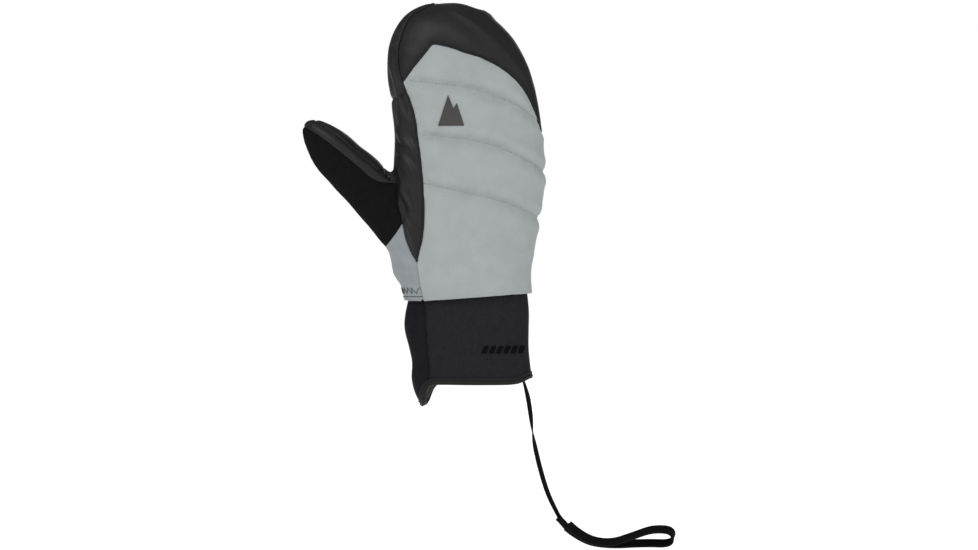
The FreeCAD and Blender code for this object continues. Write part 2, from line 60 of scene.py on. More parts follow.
AIM = Vector((14.25, 0, 81.75)) * MM
CAMERA_DISTANCE = 1.83
FRAME_WIDTH = 0.7335

camera_data = bpy.data.cameras.new("camera")
camera_data.type = "PERSP"
camera_data.sensor_width = 36
camera_data.lens = camera_data.sensor_width * CAMERA_DISTANCE / FRAME_WIDTH
camera_data.clip_end = 20
camera = bpy.data.objects.new("camera", camera_data)
camera.location = AIM - TO_PALM * CAMERA_DISTANCE
camera.rotation_euler = (math.radians(90), 0, 0)
bpy.context.scene.collection.objects.link(camera)
bpy.context.scene.camera = camera


# ---------------------------------------------------------------- small helpers


def smooth_curve(knots):
    """A smooth function through (position, value) knots, flat past its two ends."""
    places = [place for place, _ in knots]
    values = [value for _, value in knots]
    slopes = []
    for index in range(len(knots)):
        low, high = max(index - 1, 0), min(index + 1, len(knots) - 1)
        slopes.append((values[high] - values[low]) / (places[high] - places[low]))

    def at(place):
        """The curve's value at a position."""
        place = min(max(place, places[0]), places[-1])
        index = min(bisect.bisect_right(places, place) - 1, len(places) - 2)
        span = places[index + 1] - places[index]
        t = (place - places[index]) / span
        return (
            values[index] * (1 + 2 * t) * (1 - t) ** 2
            + slopes[index] * span * t * (1 - t) ** 2
            + values[index + 1] * t * t * (3 - 2 * t)
            + slopes[index + 1] * span * t * t * (t - 1)
        )

    return at


def smoothstep(low, high, value):
    """0 below low, 1 above high and smooth between them."""
    t = min(max((value - low) / (high - low), 0), 1)
    return t * t * (3 - 2 * t)


def new_object(name, mesh):
    """A mesh as an object of the scene."""
    thing = bpy.data.objects.new(name, mesh)
    bpy.context.scene.collection.objects.link(thing)
    return thing


def mesh_object(name, bm):
    """The bmesh as a smooth-shaded object; the bmesh is freed."""
    for face in bm.faces:
        face.smooth = True
    mesh = bpy.data.meshes.new(name)
    bm.to_mesh(mesh)
    bm.free()
    return new_object(name, mesh)


def closed_object(name, bm):
    """The bmesh as a smooth-shaded object whose faces all look outward."""
    bmesh.ops.recalc_face_normals(bm, faces=bm.faces)
    return mesh_object(name, bm)


def apply_modifiers(thing):
    """Replace an object's mesh by what its modifiers make of it."""
    depsgraph = bpy.context.evaluated_depsgraph_get()
    mesh = bpy.data.meshes.new_from_object(thing.evaluated_get(depsgraph))
    thing.modifiers.clear()
    thing.data = mesh
    return thing


def thicken(thing, thickness, offset=-1):
    """Give a sheet its thickness: inward (-1), outward (1) or half each way (0)."""
    shell = thing.modifiers.new("thickness", "SOLIDIFY")
    shell.thickness = thickness
    shell.offset = offset


def bridge(bm, rings, closed=True, loop=False):
    """Quads between rings of vertices; loop joins the last ring to the first one."""
    pairs = list(zip(rings, rings[1:]))
    if loop:
        pairs.append((rings[-1], rings[0]))
    for lower, upper in pairs:
        count = len(lower)
        for index in range(count if closed else count - 1):
            after = (index + 1) % count
            bm.faces.new((lower[index], lower[after], upper[after], upper[index]))


def cap(bm, ring, flip=False):
    """Close a ring with a fan round its middle."""
    middle = bm.verts.new(sum((vert.co for vert in ring), Vector()) / len(ring))
    for index, vert in enumerate(ring):
        after = ring[(index + 1) % len(ring)]
        bm.faces.new((after, vert, middle) if flip else (vert, after, middle))


def add_rings(bm, rings):
    """Vertices for rings of places."""
    return [[bm.verts.new(place) for place in ring] for ring in rings]


def add_solid(bm, rings):
    """A closed form through rings of places, with a fan over each end."""
    made = add_rings(bm, rings)
    bridge(bm, made)
    cap(bm, made[0], flip=True)
    cap(bm, made[-1])


def ways_along(path):
    """The direction of travel at each point of a path."""
    ways = []
    for index in range(len(path)):
        low, high = max(index - 1, 0), min(index + 1, len(path) - 1)
        ways.append((path[high] - path[low]).normalized())
    return ways


def square_to(way, rough):
    """The direction nearest to a rough one that is square to a way."""
    return (rough - way * rough.dot(way)).normalized()


def add_tube(bm, path, radius, side_way, sides=8, flat=1.0):
    """A tube along a path; side_way(index) is roughly across it and flat squeezes it along the third way."""
    rings = []
    for index, (place, way) in enumerate(zip(path, ways_along(path))):
        across = square_to(way, side_way(index))
        third = way.cross(across)
        ring = []
        for side in range(sides):
            angle = 2 * math.pi * side / sides
            offset = across * math.cos(angle) + third * (math.sin(angle) * flat)
            ring.append(place + offset * radius)
        rings.append(ring)
    add_solid(bm, rings)


# ---------------------------------------------------------------- leash lines, the CAD's routes in metres

TAPE_ROUTE = [
    (0.0386, 0.002, 0.007), (0.0426, 0.002, -0.005), (0.0452, 0.0015, -0.020), (0.0473, 0.001, -0.040),
    (0.0516, 0.0005, -0.060), (0.0574, 0, -0.080), (0.0626, 0, -0.0915), (0.0672, 0, -0.1002),
]
STRAP_ROUTE = [
    (0.0722, 0.0028, -0.107), (0.084, 0.003, -0.117), (0.104, 0.003, -0.121), (0.132, 0.003, -0.1194),
    (0.1526, 0.003, -0.1202), (0.1526, -0.0026, -0.1094), (0.137, -0.0028, -0.1082),
    (0.122, -0.0028, -0.1136), (0.104, -0.0028, -0.1196), (0.085, -0.0028, -0.1156),
    (0.0736, -0.0028, -0.1052),
]


def nurbs_path(name, route):
    """Points along the smooth line that has the route's points as its control points."""
    curve = bpy.data.curves.new(name, "CURVE")
    curve.dimensions = "3D"
    spline = curve.splines.new("NURBS")
    spline.points.add(len(route) - 1)
    for point, place in zip(spline.points, route):
        point.co = (*place, 1)
    spline.order_u = 3
    spline.use_endpoint_u = True
    spline.resolution_u = 16
    line = new_object(name, curve)
    mesh = bpy.data.meshes.new_from_object(line)
    path = [vert.co.copy() for vert in mesh.vertices]
    bpy.data.objects.remove(line)
    return path


def ribbon(name, path, width, thickness, width_way):
    """A flat woven strap with thicker selvedges; width_way(fraction) is roughly across its flat side."""
    upper = [(-0.94, 1), (-0.78, 0.8), (0, 0.72), (0.78, 0.8), (0.94, 1)]
    lower = [(across, -up) for across, up in reversed(upper)]
    profile = [(-1, 0), *upper, (1, 0), *lower]
    outline = [(across * width / 2, up * thickness / 2) for across, up in profile]
    bm = bmesh.new()
    rings = []
    for index, (place, way) in enumerate(zip(path, ways_along(path))):
        across = square_to(way, width_way(index / (len(path) - 1)))
        normal = way.cross(across)
        rings.append([place + across * u + normal * v for u, v in outline])
    add_solid(bm, rings)
    return closed_object(name, bm)


TAPE_WIDTH = 3.6 * MM
STRAP_WIDTH = 8 * MM


def tape_face(fraction):
    """The tape leaves the cuff edge-on, shows its flat side, turns edge-on again and shows its other side."""
    turn = 80
    for start, end, degrees in ((0, 0.2, -60), (0.2, 0.6, 160), (0.7, 1, 40)):
        turn += degrees * smoothstep(start, end, fraction)
    turn = math.radians(turn)
    return Vector((math.cos(turn), math.sin(turn), 0.1))


def strap_face(fraction):
    """The strap keeps one side up, tilted towards the front."""
    return Vector((0.45 - 0.25 * math.sin(math.pi * fraction), 0.72, 0.5))


tape_path = nurbs_path("tape_line", TAPE_ROUTE)
leash_tape = ribbon("leash-tape", tape_path, TAPE_WIDTH, 1.0 * MM, tape_face)
strap_path = nurbs_path("strap_line", STRAP_ROUTE)
wrist_loop = ribbon("wrist-loop", strap_path, STRAP_WIDTH, 1.9 * MM, strap_face)

# ---------------------------------------------------------------- the mitten's forms, close to the CAD's

# height, centre x, half width, centre y and half thickness, in mm; the cuff's are the same
HAND_STATIONS = [
    (50, -1.6, 48.7, 0, 22.2),
    (66, -1.6, 48.7, 0, 22.2),
    (82, -3.8, 50.8, 0.5, 24),
    (100, -4.6, 54.2, 1, 26.5),
    (122, -4, 56, 1, 28),
    (152, -0.8, 57.2, 0, 28.5),
    (184, -1, 56, 1, 27.5),
    (215, -4.6, 55.2, 3, 26),
]
TIP_BASE = 215
TIP_HEIGHT = 73
# distance along the thumb, how far its middle lies across, and half width, in mm
THUMB_STATIONS = [(-16, -2, 19.5), (5, -0.4, 18.8), (28, 2.2, 19.5), (48, 3.2, 19.8), (66, 2, 18.2)]
THUMB_BASE = Vector((-52, 5, 118))
THUMB_TIP_BASE = 66
THUMB_TIP_HEIGHT = 41.5
THUMB_ANGLE = math.radians(44.2)
THUMB_WAY = Vector((-math.sin(THUMB_ANGLE), 0, math.cos(THUMB_ANGLE)))
THUMB_ACROSS = Vector((math.cos(THUMB_ANGLE), 0, math.sin(THUMB_ANGLE)))
CUFF_STATIONS = [
    (-20, 6.5, 40, 0, 18.4),
    (-9, 3.2, 43.3, 0, 18.8),
    (2, 1.5, 45, 0, 19),
    (16, 0.8, 44.2, 0, 18.6),
    (26, -0.6, 45, 0, 18.4),
    (43, -2.4, 46.6, 0, 18.6),
    (60, -1.6, 45.5, 0, 17.9),
    (76, -1.5, 43.8, 0, 17),
]
SQUARENESS = 2.25


def station_curves(stations):
    """A smooth curve over the first column for each of the other columns."""
    place, *others = zip(*stations)
    return [smooth_curve(list(zip(place, values))) for values in others]


HAND_CURVES = station_curves(HAND_STATIONS)
THUMB_CURVES = station_curves(THUMB_STATIONS)
CUFF_CURVES = station_curves(CUFF_STATIONS)


def around(angle, half_width, half_thickness, squareness=SQUARENESS):
    """A point of a slightly squared ellipse; angle 0 is +X and a quarter turn is the palm."""
    cosine, sine = math.cos(angle), math.sin(angle)
    power = 2 / squareness
    x = half_width * math.copysign(abs(cosine) ** power, cosine)
    y = half_thickness * math.copysign(abs(sine) ** power, sine)
    return x, y


def on_form(curves, angle, height, depth=0.0):
    """A place in mm at a depth under a form's surface, and its offset from the form's axis."""
    centre_x, half_width, centre_y, half_thickness = [curve(height) for curve in curves]
    x, y = around(angle, half_width - depth, half_thickness - depth)
    return Vector((centre_x + x, centre_y + y, height)), Vector((x, y, 0))


def hand_ring(step, depth, sides):
    """A ring of the hand's form: step is its height in mm, or past TIP_BASE an angle in the rounded tip."""
    if step <= TIP_BASE:
        centre_x, half_width, centre_y, half_thickness = [curve(step) for curve in HAND_CURVES]
        height = step
    else:
        t = math.sin(math.radians(step - TIP_BASE))
        shrink = max(1 - t ** 2.3, 0) ** (1 / 2.3)
        centre_x, half_width, centre_y, half_thickness = [curve(TIP_BASE) for curve in HAND_CURVES]
        half_width = (half_width - depth) * shrink + depth
        half_thickness = (half_thickness - depth) * shrink + depth
        centre_x -= 14 * t
        centre_y += 9 * t * t
        height = TIP_BASE + (TIP_HEIGHT - depth) * t
    ring = []
    for side in range(sides):
        x, y = around(2 * math.pi * side / sides, half_width - depth, half_thickness - depth)
        ring.append(Vector((centre_x + x, centre_y + y, height)) * MM)
    return ring


def hand_rings(bottom, depth, sides=96):
    """Rings of the hand from a height up to the fingertips."""
    heights = [bottom + (TIP_BASE - bottom) * index / 60 for index in range(60)]
    tip_angles = [TIP_BASE + angle for angle in range(0, 88, 4)]
    return [hand_ring(step, depth, sides) for step in heights + tip_angles]


def thumb_rings(start, depth, sides=64):
    """Rings of the thumb from a distance along its axis up to its tip."""
    rings = []
    steps = [start + (THUMB_TIP_BASE - start) * index / 30 for index in range(30)]
    steps += [THUMB_TIP_BASE + angle for angle in range(0, 88, 4)]
    for step in steps:
        across, half_width = [curve(min(step, THUMB_TIP_BASE)) for curve in THUMB_CURVES]
        half_thickness = half_width * 0.92
        along = step
        shrink = 1
        if step > THUMB_TIP_BASE:
            t = math.sin(math.radians(step - THUMB_TIP_BASE))
            shrink = max(1 - t ** 1.8, 0) ** (1 / 1.8)
            along = THUMB_TIP_BASE + (THUMB_TIP_HEIGHT - depth) * t
            across += 1.5 * t
        middle = THUMB_BASE + THUMB_WAY * along + THUMB_ACROSS * across
        ring = []
        for side in range(sides):
            x, y = around(
                2 * math.pi * side / sides, (half_width - depth) * shrink, (half_thickness - depth) * shrink
            )
            ring.append((middle + THUMB_ACROSS * x + TO_PALM * y) * MM)
        rings.append(ring)
    return rings


# ---------------------------------------------------------------- seam lines, in mm

palm_seam_y = smooth_curve([(40, 4), (75, 4), (110, 7), (180, 7), (215, 10), (290, 19)])
strip_right_x = smooth_curve([
    (91.5, -39.8), (97, -38.6), (111.8, -35.4), (130.5, -34.5), (149.3, -35.3), (183, -39), (201.8, -42),
    (220.5, -48.6), (231, -52.6), (243, -54.2), (254.3, -53.3), (267, -49.5), (277, -43.5), (288, -25),
])
strip_left_x = smooth_curve([
    (91.5, -39.8), (97, -43.4), (108, -48), (121.5, -51), (134.3, -54), (152, -55.5),
])
# where the thumb parts from the hand, where the index strip ends, and the corner of the cap's edge
CROTCH_Z = 152
STRIP_END_Z = 91.5
CAP_CORNER_X = -27.8
gusset_x = smooth_curve([(50, -34.4), (63, -35), (80, -38.2), (91.5, -39.8)])
cap_left_z = smooth_curve([(-60, 214), (-50, 226), (-38, 241.5), (-27.8, 254.3)])
cap_right_z = smooth_curve([
    (-27.8, 254.3), (-18, 252.3), (-7.5, 249), (15, 240.8), (33.8, 228), (45, 212.5), (53, 192),
    (57, 176), (60, 160),
])
suede_z = smooth_curve([(-75, 96), (-62.3, 104.3), (-49.5, 121.5), (-44, 129)])
thumb_leather_z = smooth_curve([
    (-127, 194.5), (-112.5, 185.3), (-97.5, 174), (-82.5, 162), (-74, 154.6), (-66, 151.2), (-50, 150.6),
])
thumb_edge_z = smooth_curve([
    (-128, 204), (-118, 199.5), (-105, 190.5), (-90, 178.5), (-76, 167), (-70, 161.5), (-66, 160), (-58, 168),
])
quilt_z = [
    smooth_curve([(-54, 227.5), (-25, 224), (0, 220.5), (20, 214), (38, 206.6), (56, 192)]),
    smooth_curve([(-44, 187), (-16.8, 184), (8.6, 180.2), (27.6, 174), (46, 165), (60, 157)]),
    smooth_curve([(-38, 150.4), (-4, 142.7), (27.6, 135), (60, 121)]),
]
skirt_z = smooth_curve([(-60, 64), (-48, 63.8), (-35, 63.2), (46, 69), (60, 70)])
strip_fold_z = smooth_curve([(-64, 213), (-56, 214), (-47, 218.5)])


def cap_z(x):
    """Height of the fingertip cap's edge."""
    return cap_left_z(x) if x < CAP_CORNER_X else cap_right_z(x)


def on_front(place):
    """Whether a place, in mm, is on the back of the hand rather than the palm."""
    return place.y < palm_seam_y(place.z)


def on_thumb_side(place):
    """Whether a place is left of the index finger's strip, below the crotch of the thumb."""
    return place.z < CROTCH_Z and place.x < strip_left_x(place.z)


def panel_of(place):
    """The panel of the outer skin that a place, in mm, belongs to."""
    if not on_front(place):
        return "thumb-palm-leather" if on_thumb_half(place) else "palm-leather"
    if place.z < STRIP_END_Z:
        return "back-shell" if place.x > gusset_x(place.z) else "thumb-gusset"
    if on_thumb_half(place) or on_thumb_side(place):
        if place.z < suede_z(place.x):
            return "thumb-gusset"
        if place.z < thumb_leather_z(place.x):
            return "thumb-suede"
        if place.z < thumb_edge_z(place.x):
            return "thumb-top-leather"
        return "thumb-palm-leather"
    if place.x < strip_right_x(place.z):
        return "index-strip"
    return "tip-cap" if place.z > cap_z(place.x) else "back-shell"


def thumb_reach(place):
    """How far a place is on the thumb's side of the line where the thumb joins the hand, in mm."""
    return -59.5 - place.x - 0.25 * max(place.y, 0)


def on_thumb_half(place):
    """Whether a place is on the thumb rather than the hand."""
    beyond_crotch = place.z > CROTCH_Z and place.x + 0.4 * (place.z - CROTCH_Z) > -60
    return thumb_reach(place) > 0 and not beyond_crotch


# ---------------------------------------------------------------- materials


class Nodes:
    """The node tree of one material, with short ways to add the nodes used here."""

    def __init__(self, name):
        """A new material and the sockets that its texture starts and ends at."""
        self.material = bpy.data.materials.new(name)
        self.material.use_nodes = True
        self.tree = self.material.node_tree
        self.shader = self.tree.nodes["Principled BSDF"]
        self.place = self.tree.nodes.new("ShaderNodeTexCoord").outputs["Object"]

    def join(self, source, target):
        """Link two sockets."""
        self.tree.links.new(source, target)

    def add(self, kind, **values):
        """A new node; spaces in the names of its values are written as underscores."""
        node = self.tree.nodes.new("ShaderNode" + kind)
        for name, value in values.items():
            node.inputs[name.replace("_", " ")].default_value = value
        return node

    def stretched(self, scale):
        """Object coordinates in metres, multiplied by a number for each axis."""
        mapping = self.add("Mapping", Scale=scale)
        self.join(self.place, mapping.inputs["Vector"])
        return mapping.outputs["Vector"]

    def noise(self, size, detail=3, stretch=(1, 1, 1)):
        """Soft blotches of about a size in mm."""
        texture = self.add("TexNoise", Scale=1 / (size * MM), Detail=detail)
        self.join(self.stretched(stretch), texture.inputs["Vector"])
        return texture.outputs["Fac"]

    def cells(self, size, stretch=(1, 1, 1)):
        """Rounded grains of about a size in mm, low between them."""
        texture = self.add("TexVoronoi", Scale=1 / (size * MM))
        texture.feature = "DISTANCE_TO_EDGE"
        self.join(self.stretched(stretch), texture.inputs["Vector"])
        return self.ranged(texture.outputs["Distance"], From_Min=0, From_Max=0.35)

    def ribs(self, pitch, direction, wobble=0):
        """Parallel threads a pitch apart in mm, across X, Y or Z."""
        texture = self.add("TexWave", Scale=0.314 / (pitch * MM), Distortion=wobble, Detail=1)
        texture.bands_direction = direction
        self.join(self.place, texture.inputs["Vector"])
        return texture.outputs["Fac"]

    def ranged(self, value, **ends):
        """A value taken from one range to another."""
        stretch = self.add("MapRange", **ends)
        self.join(value, stretch.inputs["Value"])
        return stretch.outputs["Result"]

    def math(self, operation, first, second):
        """Arithmetic on two sockets, or on a socket and a number."""
        node = self.add("Math")
        node.operation = operation
        for socket, value in zip(node.inputs, (first, second)):
            if isinstance(value, (int, float)):
                socket.default_value = value
            else:
                self.join(value, socket)
        return node.outputs["Value"]

    def total(self, layers):
        """The sum of (texture, height in mm) pairs."""
        heights = [self.math("MULTIPLY", texture, height) for texture, height in layers]
        height = heights[0]
        for extra in heights[1:]:
            height = self.math("ADD", height, extra)
        return height

    def bump(self, layers):
        """Surface relief out of (texture, height in mm) pairs."""
        bump = self.add("Bump", Strength=1, Distance=MM)
        self.join(self.total(layers), bump.inputs["Height"])
        self.join(bump.outputs["Normal"], self.shader.inputs["Normal"])

    def colours(self, texture, dark, light):
        """Base colour between two sRGB colours, where a texture goes from 0.3 to 0.7."""
        ramp = self.add("ValToRGB")
        for element, position, colour in zip(ramp.color_ramp.elements, (0.3, 0.7), (dark, light)):
            element.position = position
            element.color = (*(linear(part) for part in colour), 1)
        self.join(texture, ramp.inputs["Fac"])
        self.join(ramp.outputs["Color"], self.shader.inputs["Base Color"])

    def rough(self, texture, low, high):
        """Roughness between two values with a texture."""
        self.join(self.ranged(texture, To_Min=low, To_Max=high), self.shader.inputs["Roughness"])

    def plain(self, **values):
        """Shader values that are the same all over; spaces in their names are written as underscores."""
        for name, value in values.items():
            self.shader.inputs[name.replace("_", " ")].default_value = value


def linear(part):
    """One channel of an 8-bit sRGB colour as a linear value."""
    part /= 255
    return part / 12.92 if part <= 0.04045 else ((part + 0.055) / 1.055) ** 2.4


def woven(name, dark, light, pitch, relief, **plain):
    """A matte plain weave."""
    nodes = Nodes(name)
    nodes.colours(nodes.total([(nodes.noise(14), 0.6), (nodes.noise(pitch * 2, 2), 0.4)]), dark, light)
    nodes.rough(nodes.noise(7), 0.72, 0.86)
    nodes.bump([
        (nodes.ribs(pitch, "X", 0.6), relief),
        (nodes.ribs(pitch, "Z", 0.6), relief),
        (nodes.noise(pitch * 1.3, 2), relief * 0.8),
        (nodes.noise(7, 2), 0.1),
    ])
    nodes.plain(**plain)
    return nodes


def grained(name, dark, light, grain, relief, rough=(0.4, 0.56), **plain):
    """Leather: small rounded grains, soft creases and a slightly uneven shine."""
    nodes = Nodes(name)
    nodes.colours(nodes.total([(nodes.noise(18), 0.7), (nodes.noise(2), 0.3)]), dark, light)
    nodes.rough(nodes.noise(9), *rough)
    nodes.bump([
        (nodes.cells(grain), relief),
        (nodes.cells(grain * 2.3, (1, 1, 0.7)), relief * 0.7),
        (nodes.noise(5, 4, (1, 1, 0.5)), 0.16),
        (nodes.noise(22, 2), 0.5),
    ])
    nodes.plain(**plain)
    return nodes


def napped(name, dark, light, pile, relief, **plain):
    """Suede, fleece or wadding: a rough nap with a faint sheen."""
    nodes = Nodes(name)
    nodes.colours(nodes.total([(nodes.noise(pile * 6), 0.5), (nodes.noise(pile), 0.5)]), dark, light)
    nodes.rough(nodes.noise(pile * 3), 0.86, 0.98)
    nodes.bump([(nodes.noise(pile, 4), relief), (nodes.noise(pile * 8, 2), relief * 2)])
    nodes.plain(**plain)
    return nodes


def ribbed(name, dark, light, pitch, direction, relief, **plain):
    """Webbing, elastic, knit or twisted thread with ribs across one axis."""
    nodes = Nodes(name)
    nodes.colours(nodes.noise(3), dark, light)
    nodes.rough(nodes.noise(2), 0.62, 0.8)
    nodes.bump([(nodes.ribs(pitch, direction, 0.4), relief), (nodes.noise(pitch, 2), relief * 0.6)])
    nodes.plain(**plain)
    return nodes


SHELL = woven(
    "shell-fabric", (146, 151, 152), (157, 162, 162), 0.5, 0.03,
    Sheen_Weight=0.15, Sheen_Roughness=0.5, Specular_IOR_Level=0.3,
)
GUSSET = woven(
    "gusset-fabric", (128, 133, 137), (139, 144, 147), 0.5, 0.03,
    Sheen_Weight=0.1, Sheen_Roughness=0.5, Specular_IOR_Level=0.3,
)
LEATHER = grained("leather", (19, 19, 20), (28, 27, 27), 0.9, 0.05, (0.36, 0.5), Specular_IOR_Level=0.24)
PATCH = grained(
    "patch-leather", (26, 26, 28), (34, 34, 35), 1.4, 0.08, (0.5, 0.62),
    Specular_IOR_Level=0.28,
)
SUEDE = napped("suede", (14, 14, 14), (21, 21, 21), 0.7, 0.12, Specular_IOR_Level=0.05)
NEOPRENE = ribbed("neoprene", (24, 23, 29), (30, 29, 35), 0.75, "X", 0.03, Specular_IOR_Level=0.12)
# the cuff's neoprene darkened with painted shade, for the palm panel
NEOPRENE_PAINTED_SHADE = ribbed(
    "neoprene-painted-shade", (15, 14, 19), (20, 19, 24), 0.75, "X", 0.03,
    Specular_IOR_Level=0.1,
)
BINDING = grained("binding-leather", (20, 20, 20), (29, 28, 28), 0.8, 0.04, Specular_IOR_Level=0.14)
# the binding leather made lighter for its roll: a painted highlight
BINDING_PAINTED_HIGHLIGHT = grained("binding-roll-painted-highlight", (60, 59, 59), (74, 73, 72), 0.8, 0.04, Specular_IOR_Level=0.35)
PIPING = grained("piping-leather", (13, 14, 17), (22, 23, 26), 0.7, 0.03, Specular_IOR_Level=0.22)
PRINT = woven("rubber-print", (58, 57, 55), (68, 67, 65), 0.4, 0.012, Specular_IOR_Level=0.3)
EMBOSS = woven("tonal-print", (5, 5, 6), (10, 10, 12), 0.4, 0.012, Specular_IOR_Level=0.06)
WEBBING = ribbed("webbing", (5, 5, 6), (13, 13, 14), 0.8, "X", 0.09, Specular_IOR_Level=0.08)
ELASTIC = ribbed("elastic", (46, 47, 50), (62, 63, 66), 1.1, "X", 0.12, Specular_IOR_Level=0.2)
GREY_THREAD = ribbed(
    "grey-thread", (128, 133, 136), (146, 151, 154), 0.35, "Z", 0.06,
    Specular_IOR_Level=0.25,
)
DARK_THREAD = ribbed("dark-thread", (42, 46, 46), (58, 62, 61), 0.35, "Z", 0.06, Specular_IOR_Level=0.25)
BLACK_THREAD = ribbed(
    "black-thread", (16, 16, 17), (27, 27, 28), 0.35, "Z", 0.06,
    Specular_IOR_Level=0.3,
)
FLEECE = napped(
    "fleece", (48, 49, 53), (66, 67, 71), 1.1, 0.3,
    Specular_IOR_Level=0.1, Sheen_Weight=0.3, Sheen_Roughness=0.5,
)
WADDING = napped(
    "wadding", (214, 214, 210), (234, 234, 230), 1.6, 0.4,
    Specular_IOR_Level=0.1, Sheen_Weight=0.2, Sheen_Roughness=0.5,
)
FILM = woven("membrane-film", (196, 204, 210), (214, 220, 224), 0.6, 0.02, Specular_IOR_Level=0.45)
FLOOR = napped(
    "floor", (150, 150, 150), (156, 156, 156), 2.5, 0.02,
    Emission_Color=(1, 1, 1, 1), Emission_Strength=0.95,
)


def dress(thing, nodes, slot, *more):
    """Give a piece its material and any further materials; slot is not used."""
    thing.data.materials.clear()
    for each in (nodes, *more):
        thing.data.materials.append(each.material)
    return thing


# ---------------------------------------------------------------- transforms baked in; nothing bends at the joints


def bends_at_knuckles(thing):
    """Bake the piece's transform into its mesh; it is not bent at the knuckles."""
    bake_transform(thing)


def bends_at_thumb(thing):
    """Bake the piece's transform into its mesh; it is not bent at the thumb."""
    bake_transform(thing)


# ---------------------------------------------------------------- skin mesh


def slice_mesh(bm, field, mask, snap=0.12):
    """Cut the mesh where a field of places in mm is zero and the mask allows it; returns the new line."""
    values = {vert: field(vert.co / MM) for vert in bm.verts}
    on_line = set()
    for edge in list(bm.edges):
        first, second = edge.verts
        if values[first] * values[second] >= 0 or not mask((first.co + second.co) / 2 / MM):
            continue
        part = values[first] / (values[first] - values[second])
        crossing = first.co.lerp(second.co, part)
        if part < snap or part > 1 - snap:
            near = first if part < snap else second
            near.co = crossing
            values[near] = 0
            on_line.add(near)
            continue
        _, middle = bmesh.utils.edge_split(edge, first, part)
        middle.co = crossing
        values[middle] = 0
        on_line.add(middle)
    for face in list(bm.faces):
        corners = [vert for vert in face.verts if vert in on_line]
        if len(corners) != 2 or any(set(corners) <= set(edge.verts) for edge in face.edges):
            continue
        bmesh.utils.face_split(face, corners[0], corners[1])
    return on_line


def everywhere(_):
    """A mask that lets the whole mesh be cut."""
    return True


def drop_faces(bm, unwanted):
    """Delete the faces whose middle, in mm, is unwanted."""
    faces = [face for face in bm.faces if unwanted(face.calc_center_median() / MM)]
    bmesh.ops.delete(bm, geom=faces, context="FACES")


def near_thumb_base(place):
    """Whether a place is in the crease where the thumb leaves the hand."""
    return -74 < place.x < -40 and 84 < place.z < 158


# the web beside the thumb, the loose cloth below it and the ring finger's tip: centre and radii in mm
BULGES = [
    ((-62, 4, 150), (9, 14, 9.5)),
    ((-45, 4, 93), (15.5, 16, 21)),
    ((5, 12, 262), (18.5, 15, 22)),
]


def raw_skin(depth, bottom, voxel):
    """The hand and the thumb joined and evened out, at a depth under the finished surface."""
    bm = bmesh.new()
    for rings in (hand_rings(bottom, depth), thumb_rings(-14, depth)):
        add_solid(bm, rings)
    for centre, radii in BULGES:
        shape = Matrix.Diagonal((*(radius - depth for radius in radii), 1))
        bulge = Matrix.Translation(Vector(centre) * MM) @ shape
        bmesh.ops.create_uvsphere(bm, u_segments=32, v_segments=20, radius=MM, matrix=bulge)
    thing = closed_object("raw-skin", bm)
    remesh = thing.modifiers.new("even", "REMESH")
    remesh.mode = "VOXEL"
    remesh.voxel_size = voxel
    apply_modifiers(thing)
    bm = bmesh.new()
    bm.from_mesh(thing.data)
    bpy.data.objects.remove(thing)
    soften(bm, bm.verts, 3)
    soften(bm, [vert for vert in bm.verts if near_thumb_base(vert.co / MM)], 14)
    return bm


def soften(bm, verts, times):
    """Even out the positions of vertices with their neighbours."""
    for _ in range(times):
        bmesh.ops.smooth_vert(bm, verts=verts, factor=0.5, use_axis_x=True, use_axis_y=True, use_axis_z=True)


def left_of_strip(place):
    """Whether a place is left of the index strip's left edge."""
    return place.x < strip_left_x(min(place.z, CROTCH_Z)) + 0.5


def on_back_shell(place):
    """Whether a place is on the grey panel of the back."""
    return on_front(place) and panel_of(place) == "back-shell"


def cut_seams(bm):
    """Cut every seam and quilt line into the skin; returns the lines of the quilting and of the fold."""
    slice_mesh(bm, lambda p: p.z - skirt_z(p.x), everywhere)
    drop_faces(bm, lambda p: p.z < skirt_z(p.x))
    slice_mesh(bm, lambda p: p.y - palm_seam_y(p.z), everywhere)
    for field, wanted in (
        (lambda p: p.x - strip_right_x(p.z), lambda p: p.z > 91),
        (lambda p: p.x - strip_left_x(p.z), lambda p: 91 < p.z < CROTCH_Z and p.x > -62),
        (lambda p: p.x - gusset_x(p.z), lambda p: p.z < 92),
        (lambda p: p.z - cap_z(p.x), lambda p: p.x > strip_right_x(p.z) and p.z > 150),
        (lambda p: p.z - suede_z(p.x), lambda p: left_of_strip(p) and p.z < 135),
        (lambda p: p.z - thumb_leather_z(p.x), lambda p: p.x < -55 and left_of_strip(p)),
        (lambda p: p.z - thumb_edge_z(p.x), on_thumb_half),
    ):
        slice_mesh(bm, field, lambda p: on_front(p) and wanted(p))
    slice_mesh(bm, thumb_reach, lambda p: not on_front(p) and p.z < 153)
    quilted = set()
    for line in quilt_z:
        quilted |= slice_mesh(bm, lambda p: p.z - line(p.x), on_back_shell)
    fold = slice_mesh(bm, lambda p: p.z - strip_fold_z(p.x), lambda p: panel_of(p) == "index-strip")
    return quilted, fold


# how far each panel's cloth grows, and so how much it puffs and creases
PANEL_GROWTH = {
    "back-shell": 1.0,
    "thumb-gusset": 0.9,
    "tip-cap": 0.4,
    "index-strip": 1.0,
    "thumb-suede": 0.3,
    "thumb-top-leather": 0.6,
    "thumb-palm-leather": 0.5,
    "palm-leather": 0.7,
}
PANELS = list(PANEL_GROWTH)
SKIN_DEPTH = 0.4
SKIN_BOTTOM = 54
SKIN_VOXEL = 2.1 * MM
# how uneven the cloth starts, and how deep its seams, its quilting and the strip's fold lie, in mm
UNEVENNESS = 0.5
SEAM_SINK = 0.8
QUILT_SINK = 1.0
FOLD_SINK = 1.6
PANEL_THICKNESS = 1.1 * MM
SIMULATION_FRAMES = 18
LARGEST_MOVE = 6 * MM


